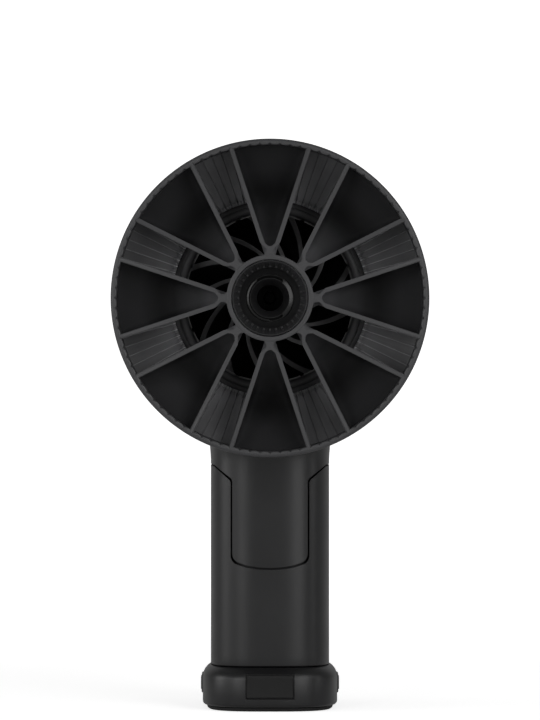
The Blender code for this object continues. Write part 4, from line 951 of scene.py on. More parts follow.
@dataclass
class IntakeBell:
    """The flared air side, with a fine bead between each two of its shallow flutes."""

    mouth_radius: float = 55.2
    throat_radius: float = 35.6
    mouth: float = 9.9
    throat: float = 24.0
    wall: float = 1.6
    beads: int = 96
    bead_half: float = 0.20
    bead_height: float = 0.16
    flute_depth: float = 0.02
    notch_reach: float = 3.0
    notch_half: float = 0.42
    nick_reach: float = 1.3
    nick_half: float = 0.30
    cut_depth: float = 1.3
    throat_ease: float = 0.35
    rows: int = 22

    def depth(self, radius: float) -> float:
        """Return the plain cone's depth at a radius."""
        share = (self.mouth_radius - radius) / (self.mouth_radius - self.throat_radius)
        return self.mouth + share * (self.throat - self.mouth)

    def cut(self, radius: float, reach: float) -> float:
        """Return how much of a throat cut's depth there is at a radius, from 0 to 1."""
        return min(1.0, max(0.0, 2 - 2 * (radius - self.throat_radius) / reach))

    def row(self, radius: float, y: float, relief: float) -> list[Point]:
        """Return one line across a flute: a bead, a notch at its end, and a nick on each side."""
        half = math.pi / self.beads
        notch, nick = self.cut(radius, self.notch_reach), self.cut(radius, self.nick_reach)
        deep = (self.cut_depth + self.bead_height) * notch - self.bead_height
        edge = (self.bead_half + (self.notch_half - self.bead_half) * notch) / radius
        nick_edge = self.nick_half / radius
        flute = self.flute_depth
        nicked = flute + self.cut_depth * nick
        side = [(edge * 0.45, deep), (edge, 0.0), (half * 0.45, flute), (half - nick_edge, flute),
                (half - nick_edge * 0.6, nicked), (half, nicked)]
        line = [(-angle, sink) for angle, sink in reversed(side)] + [(0.0, deep)] + side
        return [polar(radius, angle, y + sink * relief) for angle, sink in line]

    def build(self) -> None:
        """Make the bell."""
        rings = []
        for step in between(0, 1, self.rows):
            share = 1 - (1 - step) ** 1.6
            radius = self.mouth_radius + (self.throat_radius + self.throat_ease - self.mouth_radius) * share
            rings.append(self.row(radius, self.depth(radius), min(1.0, share * 8)))
        ease = self.throat_ease
        lip = arc((self.throat_radius + ease, self.throat + 0.1), ease, 235, 180, 3)[1:]
        rings += [self.row(radius, y, 0.6) for radius, y in lip]
        rings.append(self.row(self.throat_radius, self.throat + 0.9, 0.0))
        rings.append(self.row(self.throat_radius + 0.5, self.throat + self.wall - 0.36, 0.0))
        rings.append(self.row(self.mouth_radius, self.mouth + self.wall, 0.0))
        unit = Form().skin(rings, closed=False, loop=True).make("bell_moulding")
        dress(round_the_axis(unit, self.beads, BELL), BELL, "body", "intake_bell")


@dataclass
class HubCup:
    """The recess in the hub, with teeth that end in small flats, and its glossy ring.

    crescents holds the wide parts of the ring: start and end in degrees, width, and lean in degrees.
    """

    outer: float = 13.65
    length: float = 17.0
    teeth: int = 32
    tooth_half: float = 0.32
    hole: float = 4.75
    ring_radius: float = 8.5
    ring_width: float = 1.2
    ring_floor: float = 9.2
    ring_edge: float = 0.3
    ring_back: float = 10.3
    rim_width: float = 0.3
    crescents: tuple[tuple[float, float, float, float], ...] = ((-55, 55, 1.5, 14), (125, 271, 0.75, 15))
    crescent_fade: float = 4.0
    gap: float = 0.3

    def profile(self) -> list[tuple[float, float, float]]:
        """Return (radius, y, y on a tooth) down the inside of the cup and back up outside."""
        seat = self.ring_radius + self.gap
        return [(13.15, 0.7, 0.7), (12.9, 1.3, 1.1), (12.2, 2.9, 2.0), (11.75, 4.0, 2.9), (11.7, 4.15, 3.6),
                (11.2, 5.3, 3.65), (11.1, 5.6, 5.1), (10.9, 6.1, 6.1), (10.4, 6.9, 6.9), (seat, 8.4, 8.4),
                (seat, 10.6, 10.6), (7.1, 10.6, 10.6), (6.6, 11.2, 11.2), (5.2, 14.4, 14.4),
                (4.85, 15.3, 15.3), (self.hole, 15.8, 15.8), (self.hole, self.length, self.length),
                (self.outer, self.length, self.length), (self.outer, 0.75, 0.75), (13.5, 0.45, 0.45),
                (13.3, 0.45, 0.45)]

    def row(self, radius: float, y: float, tooth: float) -> list[Point]:
        """Return one line across a tooth's share of the cup."""
        half = math.pi / self.teeth
        edge = self.tooth_half / radius
        side = [(edge, tooth), (edge * 1.35, y), (half, y)]
        line = [(-angle, depth) for angle, depth in reversed(side)] + [(0.0, tooth)] + side
        return [polar(radius, angle, depth) for angle, depth in line]

    def crescent(self, degrees: float) -> tuple[float, float, float]:
        """Return a crescent's height from 0 to 1, its width and its lean at its outer edge."""
        for start, end, width, lean in self.crescents:
            turn = (degrees - start) % 360
            if turn <= end - start:
                share = min(1.0, turn / self.crescent_fade, (end - start - turn) / self.crescent_fade)
                stand = share * share * (3 - 2 * share)
                return stand, self.rim_width + (width - self.rim_width) * stand, lean
        return 0.0, self.rim_width, 0.0

    def gloss_ring(self) -> Form:
        """Return the ring, flat but for two domed crescents."""
        steps = 10
        rings: list[list[Point]] = [[] for _ in range(steps + 4)]
        for turn in range(SEGMENTS):
            angle = 2 * math.pi * turn / SEGMENTS
            stand, width, lean = self.crescent(math.degrees(angle))
            line = []
            for step in range(steps + 1):
                across = width * (step / steps - 1)
                slope = math.tan(math.radians(lean * (0.9 + 0.2 * step / steps)))
                line.append((self.ring_radius + across, self.ring_floor + across * slope * stand))
            line += [(self.ring_radius, self.ring_floor + self.ring_edge), (self.ring_radius, self.ring_back),
                     (self.ring_radius - self.ring_width, self.ring_back)]
            for ring, (radius, y) in zip(rings, line):
                ring.append(polar(radius, angle, y))
        return Form().skin(rings, closed=True, loop=True)

    def build(self) -> None:
        """Make the cup and its ring."""
        rings = [self.row(*spot) for spot in self.profile()]
        cup = Form().skin(rings, closed=False, loop=True).make("hub_cup_moulding")
        dress(round_the_axis(cup, self.teeth, CUP), CUP, "body", "hub_cup")
        dress(self.gloss_ring().make("hub_gloss_ring"), TRIM, "body", "hub_trim_ring")


# --- the fan and the barrel -----------------------------------------------------------
@dataclass
class FanDuct:
    """The duct with its rounded lip, the vanes and the motor can."""

    radius: float = 31.0
    wall: float = 2.0
    start: float = 27.4
    end: float = 92.0
    lip: float = 1.6
    shelf: tuple[float, float, float] = (34.1, 35.8, 26.9)
    can: float = 18.0
    can_start: float = 50.0
    can_end: float = 90.0
    bore: float = 6.8
    seat_wall: float = 1.6
    seat_length: float = 7.0
    vanes: int = 8
    vane_half: float = 0.8
    vane_root: float = 1.0
    vane_start: float = 53.0
    vane_end: float = 82.0

    def build(self) -> None:
        """Make the housing."""
        outer = self.radius + self.wall
        near, far, y = self.shelf
        duct = arc((self.radius + self.lip, self.start), self.lip, 180, 325, 14)
        duct += [(near, y), (far - 0.3, y), (far, y + 0.3), (far, y + 1.2), (outer, y + 2.4),
                 (outer, self.end), (self.radius, self.end)]
        inner = self.can - self.wall
        seat = self.bore + self.seat_wall
        floor = self.can_start + self.wall
        seat_end = self.can_start + self.seat_length
        can = eased([(self.bore, self.can_start, 0.3), (self.can, self.can_start, 2.0),
                     (self.can, self.can_end, 0.2), (inner, self.can_end, 0.2), (inner, floor, 0.5),
                     (seat, floor, 0.5), (seat, seat_end, 0.3), (self.bore, seat_end, 0.3)])
        low, high = self.can - self.vane_root, self.radius + self.vane_root
        blade = [(reach, side * self.vane_half)
                 for reach, side in ((low, -1), (high, -1), (high, 1), (low, 1))]
        sections = [[(a, y, b * share) for a, b in blade] for y, share in
                    ((self.vane_start, 0.25), (self.vane_start + 0.4, 0.8), (self.vane_start + 1.2, 1.0),
                     (self.vane_end - 6, 1.0), (self.vane_end, 0.3))]
        unit = Form().skin(sections, caps=True).make("vanes")
        vanes = round_the_axis(unit, self.vanes, NYLON, phase=math.pi / self.vanes)
        housing = lathe(duct).make("fan_duct")
        carve(housing, [(Join.ADD, vanes), (Join.ADD, lathe(can, 96).make("can"))])
        dress(housing, DUCT, "body", "stator_housing")


@dataclass
class Impeller:
    """The hub and its thirteen swept blades."""

    blades: int = 13
    tip: float = 30.6
    start: float = 33.5
    end: float = 45.5
    thickness: float = 1.2
    sweep: float = math.radians(31.0)
    twist: float = math.radians(30.0)
    phase: float = math.radians(14.7)
    sweep_start: float = 16.5
    bore: float = 2.3
    boss: float = 5.0
    wall: float = 1.7
    chords: int = 8
    spans: int = 12

    def hub(self, y: float) -> float:
        """Return the hub's radius at a depth."""
        return 14.0 + 1.5 * (y - self.start) / (self.end - self.start)

    def section(self, radius: float, y_share: float, side: float) -> Point:
        """Return a point of the blade's skin; side runs from -1 to 1 through its thickness."""
        sweep = self.sweep * (max(radius - self.sweep_start, 0) / (self.tip - self.sweep_start)) ** 0.8
        turn = sweep + self.twist * y_share + side * self.thickness / 2 / radius
        return polar(radius, turn, self.start + (self.end - self.start) * y_share)

    def blade(self) -> Form:
        """Return one blade, its front and rear edges rounded."""
        root = self.hub(self.start) - 0.8
        loops = []
        edge = [(0.03, 0.45), (0.0, 0.0), (0.03, -0.45)]
        for radius in between(root, self.tip, self.spans):
            there = [(share, -1.0) for share in between(0.10, 0.90, self.chords)]
            back = [(share, 1.0) for share in between(0.90, 0.10, self.chords)]
            tail = [(0.98, -0.55), (1.0, 0.0), (0.98, 0.55)]
            loops.append([self.section(radius, share, side) for share, side in there + tail + back + edge])
        return Form().skin(loops, caps=True)

    def build(self) -> None:
        """Make the impeller."""
        front = self.start - 1.0
        back = self.end + 0.5
        hub = eased([(self.bore, front, 0.2), (self.hub(front), front, 1.8), (self.hub(back), back, 0.3),
                     (self.hub(back) - self.wall, back, 0.3),
                     (self.hub(front) - self.wall, front + 3.5, 1.0), (self.boss, front + 3.5, 0.8),
                     (self.boss, back, 0.3), (self.bore, back, 0.2)])
        blades = round_the_axis(self.blade().make("blades"), self.blades, FAN, self.phase)
        wheel = lathe(hub, 104).make("fan_wheel")
        carve(wheel, [(Join.ADD, blades)])
        dress(wheel, FAN, "rotor", "impeller")


@dataclass
class Outlet:
    """The collar, its seal, the nozzle, its rubber tip and the motor's tail cone."""

    barrel: float = 37.0
    barrel_wall: float = 2.0
    barrel_end: float = 118.0
    plug_length: float = 10.0
    collar_bore: float = 32.0
    flange: float = 2.7
    spigot: float = 34.3
    spigot_length: float = 11.3
    groove: float = 4.0
    groove_width: float = 2.4
    groove_depth: float = 1.1
    front: float = 174.0
    opening: float = 23.6
    wall: float = 1.8
    tip_wall: float = 2.9
    tip_length: float = 13.4
    lip_length: float = 5.7
    gap: float = 0.3
    knurls: int = 60
    cone_start: float = 90.3

    def collar(self) -> None:
        """Make the collar with its spigot, and the seal in its groove."""
        rear = self.barrel_end - self.plug_length
        plug = self.barrel - self.barrel_wall - self.gap
        flange = self.barrel_end + self.gap
        shoulder = flange + self.flange
        groove = shoulder + self.groove
        groove_end = groove + self.groove_width
        floor = self.spigot - self.groove_depth
        end = shoulder + self.spigot_length
        outline = eased([(self.collar_bore, rear, 0.3), (plug, rear, 0.5), (plug, flange, 0.0),
                         (self.barrel, flange, 0.3), (self.barrel, shoulder, 0.3),
                         (self.spigot, shoulder, 0.0), (self.spigot, groove, 0.15), (floor, groove, 0.0),
                         (floor, groove_end, 0.0), (self.spigot, groove_end, 0.15),
                         (self.spigot, end, 0.6), (self.collar_bore, end, 0.4)])
        dress(lathe(outline).make("outlet_collar"), GUARD, "body", "front_collar")
        low = groove + self.gap
        high = groove_end - self.gap
        seal = eased([(floor + self.gap, low, 0.2), (self.spigot, low, 0.6), (self.spigot, high, 0.6),
                      (floor + self.gap, high, 0.2)], 5)
        dress(lathe(seal).make("spigot_seal"), RUBBER, "body", "nozzle_seal")

    def nozzle(self) -> None:
        """Make the push-fit nozzle with a ribbed skirt, and its rubber tip."""
        start = self.barrel_end + 2 * self.gap + self.flange
        skirt = self.spigot + self.gap
        socket = start + self.spigot_length + 1
        end = self.front - self.lip_length - self.gap
        land = end - self.tip_length + self.lip_length
        neck = self.opening + self.wall
        outline = eased([(skirt, start, 0.3), (self.barrel, start, 0.5), (self.barrel, socket + 2, 6.0),
                         (self.barrel - 3.2, socket + 12, 10.0), (neck + 1.6, land - 1.2, 0.8),
                         (neck, land, 0.3), (neck, end, 0.3), (self.opening, end, 0.3),
                         (self.opening, land - 2, 8.0), (self.barrel - 5.4, socket + 11, 8.0),
                         (skirt - 0.6, socket + 3, 4.0), (skirt, socket, 0.4)], 6)
        body = lathe(outline).make("nozzle_moulding")
        rib = box((self.barrel - 0.6, self.barrel + 0.28), (start + 2.0, socket - 2.0), around(0.55), 0.22)
        carve(body, [(Join.ADD, round_the_axis(rib.make("skirt_ribs"), self.knurls, SHELL))])
        dress(body, SHELL, "nozzle_unit", "nozzle")
        inner = neck + self.gap
        outer = inner + self.tip_wall
        tip = eased([(inner, land + 0.9, 0.2), (outer, land + 0.9, 0.8), (outer, self.front, 1.6),
                     (self.opening, self.front, 1.6), (self.opening, end + self.gap, 0.2),
                     (inner, end + self.gap, 0.2)], 6)
        dress(lathe(tip).make("nozzle_rubber_tip"), RUBBER, "nozzle_unit", "nozzle_tip")

    def cone(self) -> None:
        """Make the tail cone behind the motor."""
        base = self.cone_start
        outline = open_eased([(0.0, base + 1.7, 0.0), (14.5, base + 1.7, 0.3), (14.5, base, 0.3),
                              (17.8, base, 0.3), (17.6, base + 6, 20.0), (15.5, base + 18, 30.0),
                              (11.5, base + 29, 20.0), (6.5, base + 36, 9.0), (2.5, base + 39.2, 3.0),
                              (0.0, base + 39.5, 0.0)], 5)
        dress(lathe(outline, 96, loop=False).make("fan_tail_cone"), FAN, "body", "tail_cone")

    def build(self) -> None:
        """Make the outlet's pieces."""
        self.collar()
        self.nozzle()
        self.cone()


# --- the housing and the handle --------------------------------------------------------
@dataclass
class Handle:
    """The handle's squarish column, which the neck, the grip and the battery share.

    A drop is measured down from the fan axis.  beyond is how far cutting blocks run past the sides.
    """

    half_x: float = 22.0
    half_y: float = 26.0
    wall: float = 1.8
    exponent: float = 3.2
    axis: float = 152.0
    seam: float = 0.6
    tongue_gap: float = 1.3
    side_drop: float = 61.5
    shoulder_drop: float = 66.8
    tongue_half: float = 13.9
    corner_drop: float = 96.6
    tongue_drop: float = 99.3
    slack: float = 0.4
    beyond: float = 20.0
    trigger_top: float = 42.4
    trigger_bottom: float = 65.6
    trigger_width: float = 15.2
    points: int = 144

    def section(self, inset: float, z: float) -> list[Point]:
        """Return the column's section at a height, moved in by an inset."""
        oval = superellipse(self.half_x - inset, self.half_y - inset, self.exponent, self.points)
        return [(x, y, z) for x, y in oval]

    def cavity(self, low: float, high: float) -> bpy.types.Object:
        """Return the column inside the wall."""
        rings = [self.section(self.wall, z) for z in (low, high)]
        return Form().skin(rings, caps=True).make("cavity", Where.GRIP)

    def seam_outline(self, grow: float, far: float) -> Outline:
        """Return the rear seam: shoulders, then a tongue with a bowed end.

        Args:
            grow: how much wider and lower than the neck's own edge, tongue_gap times that below it.
            far: how far the shoulders run past the handle's sides.

        Returns:
            Its (x, z) points from the right to the left.
        """
        half = self.tongue_half + grow
        side = self.axis - self.side_drop - grow
        corner = self.axis - self.corner_drop - grow * self.tongue_gap
        bow = self.tongue_drop - self.corner_drop
        right = open_eased([(far, side, 0.0), (self.half_x - 1.2, side, 2.5),
                            (half, self.axis - self.shoulder_drop - grow, 2.0), (half, corner, 3.4),
                            (half * 0.62, corner - bow * 0.66, 12.0), (half * 0.3, corner - bow * 0.93, 12.0),
                            (0.0, corner - bow, 0.0)], 8)
        return right + [(-x, z) for x, z in right[-2::-1]]

    def rear_cut(self, grow: float, limit: float) -> bpy.types.Object:
        """Return a block behind the handle, from the rear seam to a height."""
        far = self.half_x + self.beyond
        outline = self.seam_outline(grow, far) + [(-far, limit), (far, limit)]
        return prism(outline, (-self.half_y - 8, 1.0)).make("rear_cut", Where.GRIP)

    def front_cut(self, low: float, high: float) -> bpy.types.Object:
        """Return a block over the handle's front half, between two heights."""
        return block("front_cut", around(self.half_x + self.beyond), (0.0, self.half_y + 12), (low, high))

    def window(self) -> bpy.types.Object:
        """Return the trigger's opening."""
        low = self.axis - self.trigger_bottom - self.slack
        high = self.axis - self.trigger_top + self.slack
        return block("window", around(self.trigger_width / 2 + self.slack),
                     (self.half_y - self.wall - 4, self.half_y + self.beyond), (low, high))


@dataclass
class CollarScrews:
    """The screws that point at the fan axis through barrel and collar, and the holes for them."""

    count: int = 3
    place: float = 112.5
    shank: float = 1.2
    head: float = 2.2
    root: float = 32.3
    seat: float = 35.8
    top: float = 36.7
    slack: float = 0.3
    hole_root: float = 30.0
    chamfer: float = 36.8
    hole_top: float = 39.0
    slot: float = 0.22
    slot_floor: float = 35.9
    slot_top: float = 38.0

    def radial(self, outline: Outline, name: str) -> bpy.types.Object:
        """Turn (radius, reach) round a line that points away from the fan axis, once for each screw."""
        form = lathe(outline, 32, loop=False)
        form.bm.transform(Matrix.Rotation(-math.pi / 2, 4, "Z"))
        form.bm.transform(Matrix.Translation((0.0, self.place, 0.0)))
        return round_the_axis(form.make(name), self.count, STEEL, phase=math.pi / 2)

    def holes(self) -> bpy.types.Object:
        """Return the counterbored holes."""
        shank, head, seat = self.shank + self.slack, self.head + self.slack, self.seat - self.slack
        outline = eased([(0.0, self.hole_root, 0.0), (shank, self.hole_root, 0.0), (shank, seat, 0.0),
                         (head, seat, 0.0), (head, self.chamfer, 0.15), (2.9, self.hole_top, 0.0),
                         (0.0, self.hole_top, 0.0)])
        return self.radial(outline, "screw_cuts")

    def build(self) -> None:
        """Make the screws, with a cross slot in each head."""
        outline = eased([(0.0, self.root, 0.0), (self.shank, self.root, 0.1), (self.shank, self.seat, 0.0),
                         (self.head, self.seat, 0.1), (self.head, self.top, 0.35), (0.0, self.top, 0.0)])
        screws = self.radial(outline, "collar_screw_set")
        slots = [box((self.slot_floor, self.slot_top), around(long, self.place), around(wide))
                 for long, wide in ((self.shank, self.slot), (self.slot, self.shank))]
        cuts = [(Join.CUT, round_the_axis(slot.make("slot"), self.count, STEEL, math.pi / 2))
                for slot in slots]
        names = [f"collar_screw_{k + 1}" for k in range(self.count)]
        dress(carve(screws, cuts), STEEL, "body", *names)


@dataclass
class BarrelHousing:
    """The flared barrel and the neck that runs down into the handle.

    clear is the air between the bell and the flare, and slant how much longer the flare's wall
    is along the axis.  Inside, the bore steps out by step and then bends out towards the bell.
    """

    handle: Handle
    bell: IntakeBell
    screws: CollarScrews
    radius: float = 37.0
    wall: float = 2.0
    end: float = 118.0
    rim: float = 57.5
    start: float = 8.3
    clear: float = 2.0
    core_start: float = 30.0
    flare_start: float = 60.0
    flare_x: float = 3.0
    flare_y: float = 9.0
    roof: float = 38.5
    slant: float = 1.25
    gap: float = 0.3
    bend: float = 4.5
    step: float = 1.0
    step_front: float = 27.0
    step_back: float = 30.5

    def barrel(self) -> Form:
        """Return the flared barrel as a ring."""
        outside = self.clear + self.slant * self.wall
        bore = self.radius - self.wall
        mouth = self.bell.mouth_radius + self.gap
        bend = bore + self.bend
        outline = eased([(mouth, self.start, 0.2), (self.rim, self.start, 0.3),
                         (self.rim, self.bell.depth(self.rim) + outside, 1.6),
                         (self.radius, self.bell.depth(self.radius) + outside, 13.6),
                         (self.radius, self.end, 0.5), (bore, self.end, 0.3), (bore, self.step_back, 0.5),
                         (bore + self.step, self.step_front, 1.0),
                         (bend, self.bell.depth(bend) + self.clear, 1.0),
                         (mouth, self.bell.depth(mouth) + self.clear, 0.5)], 8)
        return lathe(outline)

    def saddle(self, drop: float, share: float) -> list[Point]:
        """Return a neck section that widens and bends up round the barrel as share goes to 1."""
        handle = self.handle
        oval = superellipse(handle.half_x + self.flare_x * share ** 1.2,
                            handle.half_y + self.flare_y * share ** 1.8, handle.exponent, handle.points)
        return [(x, y, handle.axis - drop + share * (self.radius - math.sqrt(self.radius ** 2 - x ** 2)))
                for x, y in oval]

    def neck(self) -> Form:
        """Return the solid neck, from below the tongue up into the barrel."""
        handle = self.handle
        low = handle.axis - handle.tongue_drop - 2
        high = handle.axis - self.flare_start
        rings = [handle.section(0.0, z) for z in between(low, high, 12)[:-1]]
        rings += [self.saddle(self.flare_start + (self.radius - self.flare_start) * share, share)
                  for share in between(0, 1, 18)]
        shrink = 1 - 1.2 * self.flare_y / handle.half_y
        rings.append([(x, y * shrink, z) for x, y, z in self.saddle(self.radius - 5, 1.0)])
        form = Form().skin(rings, caps=True)
        bmesh.ops.triangulate(form.bm, faces=form.bm.faces)
        return form

    def build(self) -> None:
        """Make the housing."""
        handle = self.handle
        below = handle.axis - handle.tongue_drop - 8
        middle = self.radius - self.wall / 2
        core = lathe([(0.0, self.core_start), (middle, self.core_start), (middle, self.end - self.wall),
                      (0.0, self.end - self.wall)], loop=False)
        neck = self.neck().make("neck", Where.GRIP)
        carve(neck, [(Join.CUT, core.make("core")),
                     (Join.CUT, handle.cavity(below - 4, handle.axis - self.roof)),
                     (Join.CUT, handle.window()),
                     (Join.CUT, handle.rear_cut(0.0, below)),
                     (Join.CUT, handle.front_cut(below, handle.axis - handle.side_drop))])
        housing = self.barrel().make("barrel_moulding")
        carve(housing, [(Join.ADD, neck), (Join.CUT, self.screws.holes())])
        dress(housing, SHELL, "body", "barrel_housing")


@dataclass
class GripShell:
    """The soft-touch shell below the seam."""

    handle: Handle
    low: float = 16.3
    ease: float = 0.5

    def build(self) -> None:
        """Make the shell."""
        handle = self.handle
        high = handle.axis - handle.side_drop + 4
        outside = [(0.5 * self.ease, self.low), (0.1 * self.ease, self.low + 0.4 * self.ease)]
        outside += [(0.0, z) for z in between(self.low + self.ease, high, 24)]
        inside = [(handle.wall, z) for z in between(high, self.low, 8)]
        rings = [handle.section(inset, z) for inset, z in outside + inside]
        shell = Form().skin(rings, loop=True).make("grip_soft_shell", Where.GRIP)
        top = high + 6
        carve(shell, [(Join.CUT, handle.rear_cut(handle.seam, top)),
                      (Join.CUT, handle.front_cut(handle.axis - handle.side_drop - handle.seam, top)),
                      (Join.CUT, handle.window())])
        dress(shell, GRIP, "body", "grip_shell")


@dataclass
class Trigger:
    """The finger trigger with its flange."""

    handle: Handle
    reach: float = 35.0
    flange: float = 3.0
    lip: float = 1.5
    root: float = 4.2
    seat: float = 1.1
    ease: float = 1.5

    def build(self) -> None:
        """Make the trigger."""
        handle = self.handle
        top = handle.axis - handle.trigger_top
        bottom = handle.axis - handle.trigger_bottom
        middle = (top + bottom) / 2
        half = handle.trigger_width / 2
        inner = handle.half_y - handle.wall - self.root
        reach = self.reach
        side = eased([(inner, bottom, 0.0), (reach - 3.0, bottom, 1.2), (reach - 1.2, bottom + 1.4, 1.0),
                      (reach - 2.6, bottom + 6.0, 8.0), (reach - 3.6, middle - 1.0, 16.0),
                      (reach - 3.0, middle + 5.0, 16.0), (reach - 0.6, top - 2.4, 1.6),
                      (reach - 1.8, top, 1.2), (inner, top, 0.0)], 6)
        form = prism(side, around(half), along_x=True)
        rim = [edge for edge in form.bm.edges
               if all(abs(vert.co.x) > half * 0.99 and vert.co.y > inner + 0.2 for vert in edge.verts)]
        trigger = ease_edges(form, rim, self.ease, 5).make("finger_trigger", Where.GRIP)
        face = handle.half_y - handle.wall - self.seat
        plate = block("flange", around(half + self.lip), (face - self.flange, face),
                      (bottom - self.lip, top + self.lip), 0.4)
        carve(trigger, [(Join.ADD, plate)])
        dress(trigger, GUARD, "trigger_unit", "trigger")


@dataclass
class Battery:
    """The battery's case, lid, foot, pad, port flap and latch buttons."""

    handle: Handle
    foot_x: float = 25.0
    foot_y: float = 30.0
    foot_low: float = 1.5
    foot_high: float = 16.0
    foot_wall: float = 2.0
    pad: float = 1.2
    latch_half: float = 7.0
    latch_low: float = 5.5
    latch_high: float = 12.5
    slack: float = 0.4
    port_x: float = 8.6
    port_low: float = 4.9
    port_high: float = 13.4
    port_recess: float = 1.8
    socket_half: float = 4.9
    socket_low: float = 7.7
    socket_high: float = 11.6
    guide_place: float = 13.8
    guide_half: float = 0.8
    guide_y: float = 9.0
    post_x: float = 9.0
    post_y: float = 14.0
    post_top: float = 5.8
    floor_wall: float = 2.2
    case_wall: float = 1.1
    flap: float = 1.2
    contacts: int = 4
    contact_pitch: float = 6.0
    contact_half: float = 1.1
    contact_rear: float = -17.0
    contact_front: float = -9.5
    ridges: int = 5
    ridge_pitch: float = 2.2
    ridge_half: float = 0.45
    ridge_stand: float = 0.28
    ridge_inset: float = 1.2

    def oval(self, grow: float, z: float) -> list[Point]:
        """Return a section of the foot at a height."""
        return [(x, y, z) for x, y in superellipse(self.foot_x + grow, self.foot_y + grow,
                                                   self.handle.exponent, self.handle.points)]

    @staticmethod
    def stack(name: str, rings: list[list[Point]]) -> bpy.types.Object:
        """Make a closed solid from the grip's origin out of a stack of sections."""
        return Form().skin(rings, caps=True).make(name, Where.GRIP)

    def foot(self) -> None:
        """Make the foot with its hollow, slots, port recess and rubber pad."""
        low, high = self.foot_low, self.foot_high
        narrow = self.handle.half_x - self.foot_x
        profile = [(-1.0, low), (-0.45, low + 0.2), (-0.12, low + 0.6), (0.0, low + 1.1), (0.0, high - 4.4),
                   (-0.15, high - 3.4), (-0.7, high - 2.2), (-1.7, high - 1.0), (-2.5, high - 0.4),
                   (narrow, high)]
        foot = self.stack("foot_moulding", [self.oval(*spot) for spot in profile])
        floor = low + self.floor_wall
        slack = self.slack
        rear = -self.foot_y - 2
        hollow = self.stack("hollow", [self.oval(narrow - self.foot_wall, z) for z in (floor, high + 2)])
        slots = block("slots", around(self.foot_x + 2), around(self.latch_half + slack),
                      (self.latch_low - slack, self.latch_high + slack))
        guides = [block("guide", around(self.guide_half, side * self.guide_place), around(self.guide_y),
                        (floor - 1, self.latch_high + 1)) for side in (-1, 1)]
        post = block("post", around(self.post_x), around(self.post_y), (floor - 1, self.post_top))
        pocket = block("pocket", around(self.port_x + slack), (rear, -self.foot_y + self.port_recess),
                       (self.port_low - slack, self.port_high + slack))
        mouth = block("mouth", around(self.socket_half), (rear, -20.0), (self.socket_low, self.socket_high))
        carve(foot, [(Join.CUT, hollow), (Join.CUT, slots), *[(Join.ADD, guide) for guide in guides],
                     (Join.ADD, post), (Join.CUT, pocket), (Join.CUT, mouth)])
        dress(foot, SHELL, "battery", "battery_foot")
        profile = [(-2.2, 0.0), (-2.0, 0.12), (-1.7, 0.5), (-1.6, self.pad)]
        pad = self.stack("foot_rubber_pad", [self.oval(*spot) for spot in profile])
        dress(pad, RUBBER, "battery", "foot_pad")

    def flap_piece(self) -> None:
        """Make the rubber flap over the charge port, with a lip to pull it by."""
        half = self.flap / 2
        hinge = (-self.foot_y + self.port_recess - 0.3 - half, self.port_low + half)
        top = self.port_high - hinge[1]
        outline = arc((0.0, 0.0), half, 180, 360, 8)
        outline += [(half, top), (-half + 0.3, top), (-half - 0.25, top - 0.3), (-half - 0.35, top - 0.8),
                    (-half, top - 1.5)]
        form = prism([(hinge[0] + y, hinge[1] + z) for y, z in outline], around(self.port_x), along_x=True)
        ends = [edge for edge in form.bm.edges if abs(edge.verts[0].co.x - edge.verts[1].co.x) < 1e-6]
        flap = ease_edges(form, ends, 0.2).make("port_rubber_flap", Where.GRIP)
        dress(flap, RUBBER, "port_flap", "port_cover")

    def latch(self, side: str, sign: int) -> None:
        """Make one latch button with gripping ridges and its inner flange."""
        low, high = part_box(f"{side}_latch_button")
        inner = min(abs(low.x), abs(high.x)) / MM
        outer = max(abs(low.x), abs(high.x)) / MM
        flange = (low.z / MM, high.z / MM)
        spread = (high.y - low.y) / 2 / MM

        def span(near: float, far: float) -> Range:
            """Return an x range on this latch's side."""
            return (near, far) if sign > 0 else (-far, -near)

        button = block(f"{side}_latch_cap", span(inner + 0.7, outer), around(self.latch_half),
                       (self.latch_low, self.latch_high), 0.5)
        plate = block("plate", span(inner, inner + 1.4), around(spread), flange, 0.2)
        first = -self.ridge_pitch * (self.ridges - 1) / 2
        ridge = block("ridges", span(outer - 0.4, outer + self.ridge_stand), around(self.ridge_half, first),
                      (self.latch_low + self.ridge_inset, self.latch_high - self.ridge_inset), 0.2)
        repeater().apply(ridge, GUARD.build(), count=self.ridges, step=(0.0, self.ridge_pitch * MM, 0.0))
        carve(button, [(Join.ADD, plate), (Join.ADD, ridge)])
        dress(button, GUARD, f"{side}_latch", f"{side}_latch_button")

    def case(self) -> None:
        """Make the case and the lid with its contact slots."""
        section = self.handle.section
        inset = self.handle.wall + 0.3
        low, high = (corner.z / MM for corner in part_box("battery_case"))
        outside = [(inset + 0.5, low), (inset + 0.12, low + 0.15), (inset, low + 0.5)]
        outside += [(inset, z) for z in between(low + 0.5, high, 12)[1:]]
        inside = [(inset + self.case_wall, high), (inset + self.case_wall, low + self.case_wall)]
        case = self.stack("battery_case_shell", [section(*spot) for spot in outside + inside])
        dress(case, CASE, "battery", "battery_case")
        low, high = (corner.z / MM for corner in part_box("battery_lid"))
        spots = [(inset, low), (inset, high - 0.5), (inset + 0.15, high - 0.15), (inset + 0.5, high)]
        lid = self.stack("battery_lid_plate", [section(*spot) for spot in spots])
        first = -self.contact_pitch * (self.contacts - 1) / 2
        slot = block("contact_slots", around(self.contact_half, first),
                     (self.contact_rear, self.contact_front), (high - 0.8, high + 1))
        repeater().apply(slot, NYLON.build(), count=self.contacts, step=(self.contact_pitch * MM, 0.0, 0.0))
        carve(lid, [(Join.CUT, slot)])
        dress(lid, NYLON, "battery", "battery_lid")

    def build(self) -> None:
        """Make the battery's pieces."""
        self.case()
        self.foot()
        self.flap_piece()
        self.latch("left", -1)
        self.latch("right", 1)


